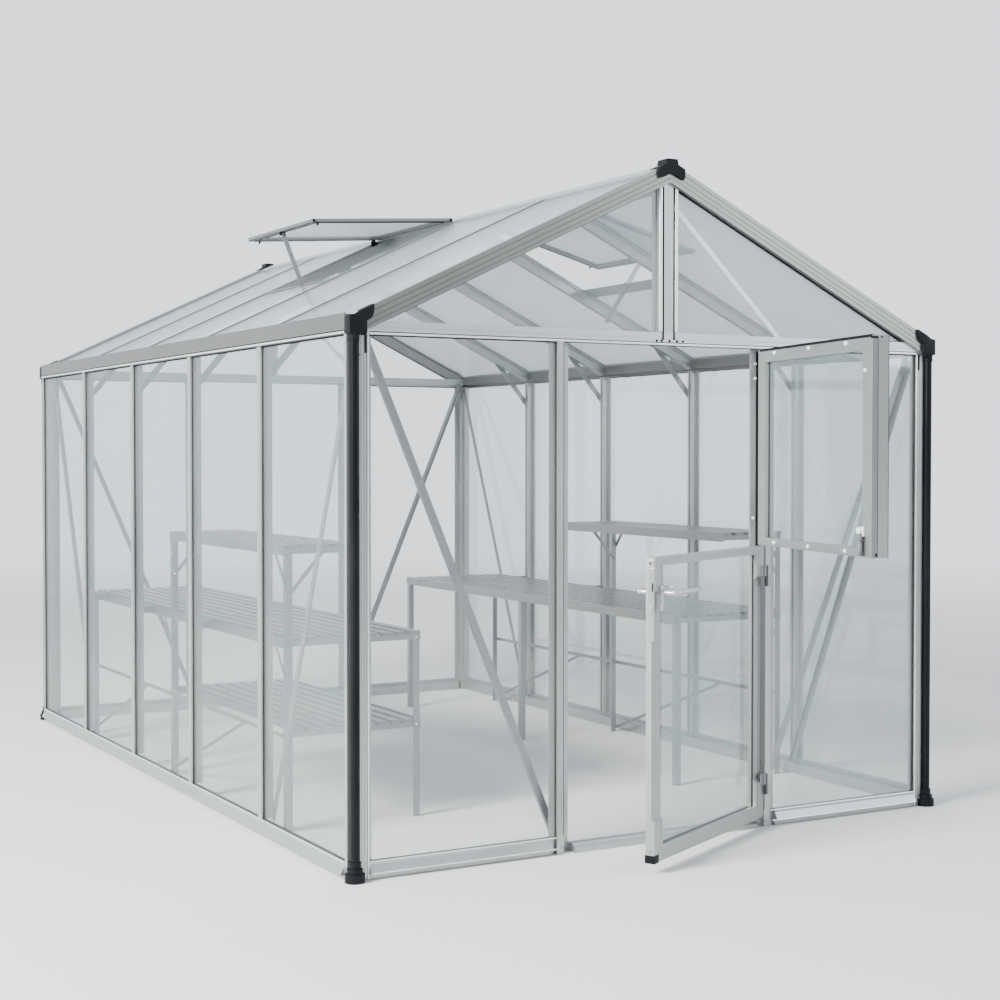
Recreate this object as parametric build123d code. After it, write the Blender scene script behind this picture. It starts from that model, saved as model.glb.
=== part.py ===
from build123d import *
import math
import os

# Glass greenhouse with an aluminium frame, all sizes in millimetres.
# The front wall's outer face lies on y = 0 and the building runs back along +Y.
# The ground is z = 0, and the origin lies on the ground under the middle of the doorway.

# Plan
width = 2470.0
side_bay = 746.0
side_bays = 5
end_margin = 20.0

# Heights and roof
sill_height = 60.0
wall_top = 1746.0
roof_angle = 25.4
eave_rise = 54.0

# Wall bars
wall_depth = 46.0
cap_thick = 6.0
bar_cap = 33.0
bar_flange = 62.0
bar_body = 30.0
bar_web = 10.0
glass_slot = 7.0
flange_thick = 4.0
bolt_channel = 8.0
glass_thick = 4.0
glass_gap = 2.0
slot_bite = 13.0
slot_play = 1.0
cut_over = 100.0

# Corner posts, each with a shallow outer notch behind its downpipe
notch_wide = 40.0
notch_deep = 13.0
front_strip = 73.0
side_strip = 30.0
corner_body = 64.0
front_flange = 86.0
side_flange = 46.0
rib_width = 3.0
rib_depth = 2.0
rib_shares = (0.1, 0.4, 0.7)

# Sills and threshold
skirt_top = 14.0
skirt_set_back = 2.0
drip_low = 18.0
drip_high = 24.0
drip_reach = 14.0
sill_back = 44.0
threshold_height = 30.0
threshold_nose = 12.0
threshold_bevel = 8.0
threshold_edge = 6.0
threshold_fall = 14.0

# Tie beams and king posts
beam_height = 45.0
king_width = 80.0
king_groove = 22.4
sheet_seat = 8.0
sheet_play = 0.5

# Roof
sheet_thick = 10.0
sheet_offset = 14.0
roof_cap = 20.0
roof_cap_thick = 4.0
roof_flange = 50.0
roof_body = 30.0
roof_body_depth = 40.0
verge_out = 12.0
verge_depth = 30.0
verge_below = 44.0
verge_above = 20.0
verge_slot = 18.0
verge_lip = 4.0
verge_ribs = (6.0, -12.0, -28.0)
ridge_half = 16.0
ridge_wing = 50.0
ridge_wing_thick = 6.0
ridge_low = 78.0
ridge_cap_reach = 55.0
ridge_cap_wall = 3.0
ridge_cap_face = 10.0
ridge_cap_flat = 22.0
ridge_cap_crest = 10.0
ridge_cap_drop = 40.0
ridge_cap_side = 34.0
ridge_cap_corner = 10.0
ridge_cap_chamfer = 4.0
ridge_cap_lap = 6.0

# Gutters and downpipes
gutter_out = 4.0
gutter_wall = 3.0
gutter_above = 2.0
gutter_height = 67.0
gutter_lip = 9.0
gutter_groove = 2.5
gutter_rim = 7.0
sheet_drip = 14.0
pipe_inset = 19.0
pipe_front = 5.0
pipe_radius = 15.5
pipe_wall = 1.6
socket_wall = 2.3
socket_length = 26.0
foot_steps = [(33.0, 0.0, 28.0), (26.0, 28.0, 44.0), (20.0, 44.0, 66.0)]
outlet_front = 23.0
outlet_depth = 18.0
outlet_plate = 59.0
outlet_top = 62.0
hood_drop = 30.0
hood_lap = 16.0
hood_back = 5.0
hood_reach = 38.0
hood_wall = 2.0

# Doorway and split door
stop_half = 392.0
rebate_half = 430.0
post_face = 27.0
post_flange = 25.0
leaf_thick = 32.0
leaf_gap = 6.0
leaf_bottom = 38.0
split_height = 1033.0
stile = 60.0
bottom_rail = 50.0
middle_rail = 28.0
top_rail = 46.0
bead = 12.0
leaf_slot_bite = 8.0
leaf_slot_front = 3.0
hinge_out = 8.0
hinge_radius = 6.0
hinge_pin = 3.0
hinge_fit = 0.3
hinge_leaf = 38.0
hinge_plate = 3.0
hinge_flap = 26.0
hinge_arm = 8.0
hinge_arm_back = 2.0
hinge_arm_bite = 0.5
lower_leaf_open = 27.4
upper_leaf_open = 76.3
edge_strip_wide = 12.0
edge_strip_deep = 28.0
hinge_low = 120.0
hinge_high = 110.0
handle_height = 915.0
handle_backset = 46.0
lever_length = 200.0
lever_stand = 44.0
lever_height = 18.0
lever_thick = 12.0
spindle = 16.0
handle_plate_half = 11.0
handle_plate_thick = 4.0
handle_plate_low = 62.0
handle_plate_high = 22.0
catch_edge = 14.0
catch_wide = 20.0
catch_deep = 14.0
catch_tall = 52.0
catch_rise = 42.0
bolt_deep = 12.0
bolt_tall = 40.0

# Roof vents
vent_length = 650.0
vent_frame = 30.0
vent_thick = 16.0
vent_clear = 12.0
vent_curb = 36.0
vent_shelf = 30.0
vent_bays = {"left": 2, "right": 1}
vent_openings = {"left": 21.4, "right": 10.3}
stay_width = 20.0
stay_thick = 4.0
stay_length = 330.0
stay_fit = 0.3
stay_bite = 4.0
vent_rise = 0.5
vent_play = 0.3

# Braces
brace_width = 25.0
brace_thick = 4.0
brace_lip_depth = 16.0
knee_drop = 120.0
knee_reach = 190.0
brace_inset = 8.0
brace_foot = 14.0
gable_brace_width = 17.5
gable_brace_drop = 30.0
gable_brace_slant = 1.08
side_brace_drop = 22.0

# Staging benches
bench_start = 775.0
bench_split = 2035.0
bench_length = 2470.0
bench_clear = 60.0
bench_depth = 540.0
leg_size = 26.0
leg_wall = 3.0
bearer = 20.0
lower_shelf = 370.0
main_shelf = 700.0
upper_shelf = 1035.0
upper_depth = 300.0
slat_thick = 12.0
slat_gap = 22.0
rail_thick = 3.0
rail_height = 38.0
tie_height = 30.0
low_rail_height = 350.0
low_rail_size = 16.0
low_strut_run = 870.0
knee_run = 95.0
knee_width = 14.0
strut_drop = 170.0
main_slats = 9
upper_slats = 5
slat_inset = 2.0
bearer_inset = 1.0

# Values worked out from the sizes above
half = width / 2
length = side_bays * side_bay + 2 * end_margin
tan_roof = math.tan(math.radians(roof_angle))
cos_roof = math.cos(math.radians(roof_angle))
sin_roof = math.sin(math.radians(roof_angle))
seat_x = half - wall_depth
apex = wall_top + eave_rise + tan_roof * seat_x
flange_face = cap_thick + glass_slot
body_face = flange_face + flange_thick
beam_top = wall_top + beam_height
leaf_top = wall_top - leaf_gap
far = width + length + apex
glass_bottom = sill_height - slot_bite
glass_floor = glass_bottom - slot_play
glass_top = wall_top + slot_bite - glass_gap
bar_lines = [end_margin + side_bay * k for k in range(side_bays + 1)]
hinge_x = rebate_half + leaf_gap / 2
pipe_x = pipe_inset - half
sheet_front = sheet_offset - sheet_play
sheet_back = sheet_offset + sheet_thick + sheet_play
verge_seat = verge_depth - verge_slot
middle = Plane(origin=(0, length / 2, 0), z_dir=(0, 1, 0))

parts = {}


def seat_height(x):
    """Height of the roof sheets' underside at a distance x from the ridge line."""
    return apex - tan_roof * abs(x)


def profile(points, plane, depth):
    """A closed outline drawn on a plane and extruded along its normal."""
    return extrude(plane * Polygon(*points, align=None), amount=depth, dir=plane.z_dir)


def upright(points, z0, z1):
    """A plan outline (x, y) raised from z0 to z1."""
    return profile(points, Plane(origin=(0, 0, z0)), z1 - z0)


def along_x(points, x0, x1):
    """An outline (y, z) extruded from x0 to x1."""
    return profile(points, Plane(origin=(x0, 0, 0), x_dir=(0, 1, 0), z_dir=(1, 0, 0)), x1 - x0)


def along_y(points, y0, y1):
    """An outline (x, z) extruded from y0 to y1."""
    return profile(points, Plane(origin=(0, y1, 0), x_dir=(1, 0, 0), z_dir=(0, -1, 0)), y1 - y0)


def down_slope(points, s0, s1):
    """An outline (y, n), n above the sheet seat, run from s0 to s1 down the left slope."""
    start = (-s0 * cos_roof, 0, apex - s0 * sin_roof)
    plane = Plane(origin=start, x_dir=(0, -1, 0), z_dir=(-cos_roof, 0, -sin_roof))
    return profile([(-y, n) for y, n in points], plane, s1 - s0)


def block(x0, x1, y0, y1, z0, z1):
    """A box between two corners."""
    box = Box(x1 - x0, y1 - y0, z1 - z0, align=(Align.MIN, Align.MIN, Align.MIN))
    return Pos(x0, y0, z0) * box


def tube(x, y, z0, z1, outer, inner=0.0):
    """An upright round rod, or a pipe where an inner radius is given."""
    rod = Pos(x, y, z0) * Cylinder(outer, z1 - z0, align=(Align.CENTER, Align.CENTER, Align.MIN))
    if inner:
        bore = Cylinder(inner, z1 - z0, align=(Align.CENTER, Align.CENTER, Align.MIN))
        rod = rod - Pos(x, y, z0) * bore
    return rod


def strip_outline(p, q, wide):
    """Outline of a flat bar whose middle line runs from p to q."""
    run = math.hypot(q[0] - p[0], q[1] - p[1])
    a = (q[1] - p[1]) / run * wide / 2
    b = (p[0] - q[0]) / run * wide / 2
    return [(p[0] + a, p[1] + b), (q[0] + a, q[1] + b), (q[0] - a, q[1] - b), (p[0] - a, p[1] - b)]


def clip(shape, x0, x1):
    """The stretch of a shape between two upright planes across the building."""
    return shape & block(x0, x1, -far, far, -far, far)


def to_right(shape):
    """The same piece on the other side of the ridge line."""
    return mirror(shape, about=Plane.YZ)


def to_back(shape):
    """The same piece at the other end of the building."""
    return mirror(shape, about=middle)


def keep(name, *shapes):
    """Add every solid of the given shapes to one node."""
    solids = parts.setdefault(name, [])
    for shape in shapes:
        solids.extend(shape.solids())


def bar_outline():
    """Half-symmetric wall bar section (u, d): cap, glass slots, flange and bolt channel."""
    right = [
        (bar_cap / 2, 0),
        (bar_cap / 2, cap_thick),
        (bar_web / 2, cap_thick),
        (bar_web / 2, flange_face),
        (bar_flange / 2, flange_face),
        (bar_flange / 2, body_face),
        (bar_body / 2, body_face),
        (bar_body / 2, wall_depth),
        (bolt_channel / 2, wall_depth),
        (bolt_channel / 2, wall_depth - bolt_channel),
    ]
    left = [(-u, d) for u, d in reversed(right)]
    return right + left


def side_bar(y, z0, z1):
    """A glazing bar of the left wall, centred on y."""
    return upright([(d - half, y + u) for u, d in bar_outline()], z0, z1)


def front_bar(x, z0, z1):
    """A glazing bar of the front wall, centred on x."""
    return upright([(x + u, d) for u, d in bar_outline()], z0, z1)


# Sills


def sill_outline():
    """Sill section (d, z): skirt, sloping drip, outer lip, glass slot and inner ledge."""
    return [
        (skirt_set_back, 0),
        (wall_depth, 0),
        (wall_depth, sill_back),
        (body_face, sill_back),
        (body_face, sill_height),
        (flange_face, sill_height),
        (flange_face, glass_floor),
        (cap_thick, glass_floor),
        (cap_thick, sill_height),
        (0, sill_height),
        (0, glass_bottom),
        (-drip_reach, drip_high),
        (-drip_reach, drip_low),
        (skirt_set_back, skirt_top),
    ]


def build_sills(post):
    corner = half - front_strip
    door_side = rebate_half + post_face + post_flange
    left_part = along_x(sill_outline(), -corner, -door_side) - post
    keep("front_sill", left_part, to_right(left_part))
    back = along_x(sill_outline(), -corner, corner) - [post, to_right(post)]
    keep("back_sill", to_back(back))
    side = along_y([(d - half, z) for d, z in sill_outline()], side_strip, length - side_strip)
    side = side - [post, to_back(post)]
    keep("left_sill", side)
    keep("right_sill", to_right(side))
    tread = [
        (-threshold_nose, 0),
        (wall_depth, 0),
        (wall_depth, threshold_height - threshold_bevel),
        (wall_depth - threshold_bevel, threshold_height),
        (threshold_bevel / 2, threshold_height),
        (0, threshold_height - threshold_edge),
        (-threshold_nose, threshold_height - threshold_fall),
    ]
    keep("door_threshold", along_x(tread, -stop_half, stop_half))


# Upright frame


def corner_post():
    """Front left corner post, with ribs on its front strip and a glass slot in each strip."""
    front = [
        (notch_wide, notch_deep),
        (notch_wide, 0),
    ]
    for share in rib_shares:
        rib = notch_wide + (front_strip - notch_wide) * share
        front += [(rib, 0), (rib, rib_depth), (rib + rib_width, rib_depth), (rib + rib_width, 0)]
    outline = front + [
        (front_strip, 0),
        (front_strip, cap_thick),
        (front_strip - slot_bite, cap_thick),
        (front_strip - slot_bite, flange_face),
        (front_flange, flange_face),
        (front_flange, body_face),
        (corner_body, body_face),
        (corner_body, wall_depth),
        (wall_depth, wall_depth),
        (wall_depth, corner_body),
        (body_face, corner_body),
        (body_face, side_flange),
        (flange_face, side_flange),
        (flange_face, side_strip - slot_bite),
        (cap_thick, side_strip - slot_bite),
        (cap_thick, side_strip),
        (0, side_strip),
        (0, notch_deep),
    ]
    return upright([(a - half, b) for a, b in outline], 0, wall_top)


def build_corner_posts(post):
    keep("corner_posts", post, to_right(post), to_back(post), to_back(to_right(post)))


def door_post():
    """Right door post: glass slot outside, rebate for the leaf and a stop behind it."""
    face_end = rebate_half + post_face
    flange_end = face_end + post_flange
    stop_front = leaf_thick + leaf_gap
    outline = [
        (rebate_half, 0),
        (face_end, 0),
        (face_end, cap_thick),
        (face_end - slot_bite, cap_thick),
        (face_end - slot_bite, flange_face),
        (flange_end, flange_face),
        (flange_end, body_face),
        (face_end, body_face),
        (face_end, wall_depth),
        (stop_half, wall_depth),
        (stop_half, stop_front),
        (rebate_half, stop_front),
    ]
    return upright(outline, 0, wall_top)


def build_door_posts():
    post = door_post()
    keep("right_door_post", post)
    keep("left_door_post", to_right(post))


def build_wall_bars():
    bars = [side_bar(y, sill_height, wall_top) for y in bar_lines[1:-1]]
    keep("left_wall_bars", *bars)
    keep("right_wall_bars", *[to_right(bar) for bar in bars])
    back_x = rebate_half + post_face / 2
    back = to_back(front_bar(back_x, sill_height, wall_top))
    keep("back_wall_bars", back, to_right(back))


# Glass


def build_glass():
    front_edge = front_strip - slot_bite + glass_gap
    side_edge = side_strip - slot_bite + glass_gap
    door_edge = rebate_half + post_face - slot_bite + glass_gap
    bar_edge = bar_web / 2 + glass_gap
    g0 = flange_face - glass_thick
    g1 = flange_face
    pane = block(front_edge - half, -door_edge, g0, g1, glass_bottom, glass_top)
    keep("front_glass", pane, to_right(pane))
    back_x = rebate_half + post_face / 2
    outer = block(front_edge - half, -back_x - bar_edge, g0, g1, glass_bottom, glass_top)
    inner = block(bar_edge - back_x, back_x - bar_edge, g0, g1, glass_bottom, glass_top)
    keep("back_glass", to_back(outer), to_back(inner), to_back(to_right(outer)))
    panes = []
    for k in range(side_bays):
        y0 = bar_lines[k] + bar_edge
        y1 = bar_lines[k + 1] - bar_edge
        if k == 0:
            y0 = side_edge
        if k == side_bays - 1:
            y1 = length - side_edge
        panes.append(block(g0 - half, g1 - half, y0, y1, glass_bottom, glass_top))
    keep("left_glass", *panes)
    keep("right_glass", *[to_right(pane) for pane in panes])


# Tie beams, king posts and verges


def verge_outline():
    """Verge bar section (y, n): outer cover, roof sheet slot and gable sheet slot."""
    slot_top = sheet_thick + slot_play
    outline = [
        (-verge_out, -verge_below),
        (sheet_front, -verge_below),
        (sheet_front, sheet_seat - verge_below),
        (sheet_back, sheet_seat - verge_below),
        (sheet_back, -verge_below),
        (verge_depth, -verge_below),
        (verge_depth, 0),
        (verge_seat, 0),
        (verge_seat, slot_top),
        (verge_depth, slot_top),
        (verge_depth, slot_top + verge_lip),
        (verge_seat + verge_lip, verge_above),
        (-verge_out, verge_above),
    ]
    for n in verge_ribs:
        outline += [
            (-verge_out, n),
            (-verge_out + rib_depth, n - 1),
            (-verge_out + rib_depth, n - rib_width),
            (-verge_out, n - rib_width - 1),
        ]
    return outline


def verge_bar():
    """Front verge bar of the left slope, cut upright at the ridge and at the gutter."""
    bar = down_slope(verge_outline(), -cut_over, seat_x / cos_roof + cut_over)
    return clip(bar, -seat_x, 0)


def build_gables(verge, ridge):
    beam = [
        (0, wall_top),
        (cap_thick, wall_top),
        (cap_thick, wall_top + slot_bite),
        (flange_face, wall_top + slot_bite),
        (flange_face, wall_top),
        (body_face, wall_top),
        (body_face, wall_top + sheet_seat),
        (wall_depth, wall_top + sheet_seat),
        (wall_depth, beam_top),
        (sheet_back, beam_top),
        (sheet_back, beam_top - sheet_seat),
        (sheet_front, beam_top - sheet_seat),
        (sheet_front, beam_top),
        (0, beam_top),
        (0, wall_top + beam_height / 2 + rib_width),
        (rib_depth, wall_top + beam_height / 2 + rib_width),
        (rib_depth, wall_top + beam_height / 2),
        (0, wall_top + beam_height / 2),
    ]
    verges = [verge, to_right(verge)]
    tie = along_x(beam, -seat_x, seat_x) - verges
    keep("tie_beams", tie, to_back(tie))
    king_half = king_width / 2
    groove = king_groove
    king_plan = [
        (-king_half, 0),
        (-groove - rib_width, 0),
        (-groove - rib_width, rib_depth),
        (-groove, rib_depth),
        (-groove, 0),
        (groove, 0),
        (groove, rib_depth),
        (groove + rib_width, rib_depth),
        (groove + rib_width, 0),
        (king_half, 0),
        (king_half, sheet_front),
        (king_half - sheet_seat, sheet_front),
        (king_half - sheet_seat, sheet_back),
        (king_half, sheet_back),
        (king_half, wall_depth),
        (-king_half, wall_depth),
        (-king_half, sheet_back),
        (sheet_seat - king_half, sheet_back),
        (sheet_seat - king_half, sheet_front),
        (-king_half, sheet_front),
    ]
    low_apex = apex - verge_below / cos_roof
    gable = [(-half, low_apex - tan_roof * half), (half, low_apex - tan_roof * half), (0, low_apex)]
    under_verge = along_y(gable, -cut_over, cut_over)
    king = (upright(king_plan, beam_top, apex) & under_verge) - ridge
    keep("king_posts", king, to_back(king))
    sheet_apex = low_apex + (sheet_seat - slot_play) / cos_roof
    x0 = king_half - sheet_seat + slot_play
    z0 = beam_top - sheet_seat
    x1 = (sheet_apex - z0) / tan_roof
    triangle = [(x0, z0), (x1, z0), (x0, sheet_apex - tan_roof * x0)]
    sheet = along_y(triangle, sheet_offset, sheet_offset + sheet_thick)
    sheet = sheet - verges[1]
    keep("front_gable_sheets", sheet, to_right(sheet))
    keep("back_gable_sheets", to_back(sheet), to_back(to_right(sheet)))


# Ridge, roof bars and sheets


def build_ridge():
    top = apex + sheet_thick / cos_roof
    wing = top - tan_roof * ridge_wing
    rise = ridge_wing_thick / cos_roof
    right = [
        (ridge_wing, wing + rise),
        (ridge_wing, wing),
        (ridge_half, top - tan_roof * ridge_half),
        (ridge_half, apex - ridge_low),
    ]
    left = [(-x, z) for x, z in reversed(right)]
    ridge = along_y([(0, top + rise)] + right + left, verge_depth, length - verge_depth)
    keep("ridge_beam", ridge)
    return ridge


def roof_bar(y, ridge):
    """Roof bar of the left slope: cap over the sheets, web, flange and body below."""
    over = [
        (-roof_cap / 2, sheet_thick + roof_cap_thick),
        (-roof_cap / 2, sheet_thick),
        (-bar_web / 2, sheet_thick),
        (-bar_web / 2, 0),
        (bar_web / 2, 0),
        (bar_web / 2, sheet_thick),
        (roof_cap / 2, sheet_thick),
        (roof_cap / 2, sheet_thick + roof_cap_thick),
    ]
    under = [
        (-roof_flange / 2, 0),
        (-roof_flange / 2, -flange_thick),
        (-roof_body / 2, -flange_thick),
        (-roof_body / 2, -roof_body_depth),
        (-bolt_channel / 2, -roof_body_depth),
        (-bolt_channel / 2, bolt_channel - roof_body_depth),
        (bolt_channel / 2, bolt_channel - roof_body_depth),
        (bolt_channel / 2, -roof_body_depth),
        (roof_body / 2, -roof_body_depth),
        (roof_body / 2, -flange_thick),
        (roof_flange / 2, -flange_thick),
        (roof_flange / 2, 0),
    ]
    run = half / cos_roof + cut_over
    upper = clip(down_slope([(y + v, n) for v, n in over], -cut_over, run), -seat_x - sheet_drip, 0)
    lower = clip(down_slope([(y + v, n) for v, n in under], -cut_over, run), -seat_x, 0)
    return (upper + lower) - ridge


def roof_sheet(y0, y1, x0, x1):
    """A roof sheet of the left slope between two bars, from x0 near the ridge to x1."""
    outline = [(y0, 0), (y1, 0), (y1, sheet_thick), (y0, sheet_thick)]
    return clip(down_slope(outline, -cut_over, half / cos_roof + cut_over), -x1, -x0)


def vent_hinge():
    """Slope distance and height n of the vent hinge, on the edge of the ridge wing."""
    n = sheet_thick + roof_cap_thick + vent_rise
    return (ridge_wing + vent_play - n * sin_roof) / cos_roof, n


def curb_place():
    """Slope distance of the vent curb's upper face."""
    return vent_hinge()[0] + vent_length - vent_frame


def build_roof(ridge, verge, outlet):
    bars = [roof_bar(y, ridge) for y in bar_lines[1:-1]]
    keep("left_roof_bars", *bars)
    keep("right_roof_bars", *[to_right(bar) for bar in bars])
    keep("verge_bars", verge, to_right(verge), to_back(verge), to_back(to_right(verge)))
    edge = bar_web / 2 + slot_play
    verge_edge = verge_seat + sheet_play
    for side, vent_bay in vent_bays.items():
        sheets = []
        vent_line = end_margin + side_bay * vent_bay
        for k in range(side_bays):
            y0 = bar_lines[k] + edge
            y1 = bar_lines[k + 1] - edge
            if k == 0:
                y0 = verge_edge
            if k == side_bays - 1:
                y1 = length - verge_edge
            x0 = ridge_half + slot_play
            if abs(bar_lines[k] - vent_line) < slot_play:
                x0 = (curb_place() + cap_thick) * cos_roof + sheet_thick * sin_roof
            sheet = roof_sheet(y0, y1, x0, seat_x + sheet_drip)
            sheets.append(sheet - [outlet, to_back(outlet)])
        if side == "right":
            sheets = [to_right(sheet) for sheet in sheets]
        keep(side + "_roof_sheets", *sheets)
    return bars


def across_slope(points, y0, y1):
    """An outline (s, n), s down the left slope and n above the sheet seat, from y0 to y1."""
    plane = Plane(origin=(0, y0, apex), x_dir=(-cos_roof, 0, -sin_roof), z_dir=(0, 1, 0))
    return profile(points, plane, y1 - y0)


def vent_curb_bar(y0, y1):
    """Curb bar between two roof bars, gripping the cut edge of the roof sheet."""
    s0 = curb_place()
    outline = [
        (s0 - vent_shelf, -flange_thick),
        (s0 + vent_curb, -flange_thick),
        (s0 + vent_curb, 0),
        (s0 + flange_thick, 0),
        (s0 + flange_thick, sheet_thick + slot_play),
        (s0 + vent_curb / 2, sheet_thick + slot_play),
        (s0 + vent_curb / 2, sheet_thick + roof_cap_thick),
        (s0, sheet_thick + roof_cap_thick),
        (s0, 0),
        (s0 - vent_shelf, 0),
    ]
    return across_slope(outline, y0, y1)


def vent_leaf(y0, y1):
    """Vent leaf in its closed place: a frame with four rails and the sheet in it."""
    s0, n0 = vent_hinge()
    s1 = s0 + vent_length
    lap = vent_frame / 3
    low = (vent_thick - sheet_thick) / 2
    rim = across_slope([(s0, n0), (s1, n0), (s1, n0 + vent_thick), (s0, n0 + vent_thick)], y0, y1)
    window = [
        (s0 + vent_frame, n0 - cut_over),
        (s1 - vent_frame, n0 - cut_over),
        (s1 - vent_frame, n0 + cut_over),
        (s0 + vent_frame, n0 + cut_over),
    ]
    seat = [
        (s0 + vent_frame - lap, n0 + low),
        (s1 - vent_frame + lap, n0 + low),
        (s1 - vent_frame + lap, n0 + low + sheet_thick),
        (s0 + vent_frame - lap, n0 + low + sheet_thick),
    ]
    sheet = across_slope(seat, y0 + vent_frame - lap, y1 - vent_frame + lap)
    rim = rim - across_slope(window, y0 + vent_frame, y1 - vent_frame)
    high = n0 + cut_over
    above = across_slope([(s0, n0), (s1 + lap, n0), (s1 + lap, high), (s0, high)], y0, y1)
    return rim - sheet, sheet, above


def build_vent(side, bars):
    """A vent leaf held open at the ridge wing, its curb bar and its stay."""
    opening = vent_openings[side]
    y0 = end_margin + side_bay * vent_bays[side]
    y1 = y0 + side_bay
    mid = (y0 + y1) / 2
    hinge_s, hinge_n = vent_hinge()
    hinge_place = (-hinge_s * cos_roof - hinge_n * sin_roof, apex - hinge_s * sin_roof + hinge_n * cos_roof)
    hinge = Axis((hinge_place[0], 0, hinge_place[1]), (0, 1, 0))
    leaf = vent_leaf(y0 + vent_clear, y1 - vent_clear)
    frame, sheet, above = [piece.rotate(hinge, opening) for piece in leaf]
    tilt = math.radians(roof_angle - opening)
    reach = vent_length - vent_frame / 2
    top = (hinge_place[0] - reach * math.cos(tilt), hinge_place[1] - reach * math.sin(tilt) + stay_bite)
    foot_s = curb_place() - vent_shelf / 2
    foot = (-foot_s * cos_roof, apex - foot_s * sin_roof)
    run = math.hypot(foot[0] - top[0], foot[1] - top[1])
    bottom = [top[k] + (foot[k] - top[k]) / run * stay_length for k in range(2)]
    stay_y0 = mid - stay_thick / 2
    stay_y1 = mid + stay_thick / 2
    stay = along_y(strip_outline(top, bottom, stay_width), stay_y0, stay_y1) - above
    slot = along_y(
        strip_outline(top, bottom, stay_width + 2 * stay_fit),
        stay_y0 - stay_fit,
        stay_y1 + stay_fit,
    )
    curb = vent_curb_bar(y0 + bar_web / 2, y1 - bar_web / 2) - bars - slot
    pieces = {"leaf_frames": frame, "sheets": sheet, "curbs": curb, "stays": stay}
    for name, piece in pieces.items():
        if side == "right":
            piece = to_right(piece)
        keep("vent_" + name, piece)


# Gutters, outlets and downpipes


def build_gutters():
    x_out = -half - gutter_out
    x_in = -seat_x
    floor = wall_top + slot_bite - slot_play
    top = wall_top + gutter_height
    foot = wall_top + gutter_above
    lip = foot + gutter_lip
    section = [
        (x_out, foot),
        (-half, foot),
        (-half, wall_top),
        (cap_thick - half, wall_top),
        (cap_thick - half, floor),
        (flange_face - half, floor),
        (flange_face - half, wall_top),
        (body_face - half, wall_top),
        (body_face - half, floor),
        (x_in, floor),
        (x_in, seat_height(x_in - gutter_wall)),
        (x_in - gutter_wall, seat_height(x_in - gutter_wall)),
        (x_in - gutter_wall, floor + gutter_wall),
        (x_out + gutter_wall, floor + gutter_wall),
        (x_out + gutter_wall, top - gutter_wall),
        (x_out + gutter_rim, top - gutter_wall),
        (x_out + gutter_rim, top),
        (x_out, top),
        (x_out, lip + gutter_groove),
        (x_out + rib_depth, lip + gutter_groove),
        (x_out + rib_depth, lip),
        (x_out, lip),
    ]
    gutter = along_y(section, outlet_depth, length - outlet_depth)
    keep("left_gutter", gutter)
    keep("right_gutter", to_right(gutter))


def outlet_block():
    """Corner outlet at the front left: end block, hood over the verge and pipe socket."""
    x_out = -half - gutter_out - slot_play
    y_out = -outlet_front
    top = wall_top + outlet_top
    body = block(x_out, -seat_x, y_out, outlet_depth, wall_top, top)
    plate = block(-seat_x, outlet_plate - half, y_out, -verge_out, wall_top, top)
    hood = [
        (y_out, -hood_drop),
        (-verge_out, -hood_drop),
        (-verge_out, verge_above),
        (hood_lap, verge_above),
        (hood_lap, verge_above + hood_wall),
        (y_out, verge_above + hood_wall),
    ]
    reach = down_slope(hood, 0, (half + wall_depth) / cos_roof)
    reach = clip(reach, -seat_x - hood_back, hood_reach - seat_x)
    outer = pipe_radius + socket_wall
    socket = tube(pipe_x, -pipe_front, wall_top - socket_length, wall_top, outer, pipe_radius)
    return body + plate + reach + socket


def build_drainage(outlet, post):
    keep("gutter_outlets", outlet, to_right(outlet), to_back(outlet), to_back(to_right(outlet)))
    foot_top = foot_steps[0][2]
    pipe = tube(pipe_x, -pipe_front, foot_top, wall_top, pipe_radius, pipe_radius - pipe_wall)
    keep("downpipes", pipe, to_right(pipe), to_back(pipe), to_back(to_right(pipe)))
    foot = tube(pipe_x, -pipe_front, 0, foot_top, foot_steps[0][0])
    for radius, z0, z1 in foot_steps[1:]:
        foot = foot + tube(pipe_x, -pipe_front, z0, z1, radius, pipe_radius)
    behind = block(-half, 0, notch_deep, wall_depth, 0, foot_steps[-1][2])
    foot = foot - [post, behind]
    keep("downpipe_feet", foot, to_right(foot), to_back(foot), to_back(to_right(foot)))


def build_ridge_caps():
    """End cap over the ridge and the verges' top ends, front and back."""
    top = apex + verge_above / cos_roof
    rise = ridge_cap_wall / cos_roof
    reach = ridge_cap_reach
    flat = ridge_cap_flat
    y0 = -verge_out - ridge_cap_face
    edge = top - tan_roof * reach
    shoulder = flat + ridge_cap_chamfer
    right = [
        (flat, top + ridge_cap_crest),
        (shoulder, top + rise - tan_roof * shoulder),
        (reach, edge + rise),
    ]
    over = [(-x, z) for x, z in reversed(right)] + right
    shell = along_y(over + [(reach, edge), (0, top), (-reach, edge)], y0, verge_depth + ridge_cap_lap)
    low = edge - ridge_cap_side
    corner = low + ridge_cap_corner
    inset = reach - ridge_cap_chamfer
    under = [(reach, corner), (inset, low), (0, top - ridge_cap_drop), (-inset, low), (-reach, corner)]
    face = along_y(over + under, y0, -verge_out)
    cap = shell + face
    keep("ridge_end_caps", cap, to_back(cap))


# Braces


def brace_lip(p, q, wide, lip):
    """End points of the narrow strip along one edge of a brace that runs from p to q."""
    run = math.hypot(q[0] - p[0], q[1] - p[1])
    a = (q[1] - p[1]) / run * (wide - lip) / 2
    b = (p[0] - q[0]) / run * (wide - lip) / 2
    return (p[0] + a, p[1] + b), (q[0] + a, q[1] + b)


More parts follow.
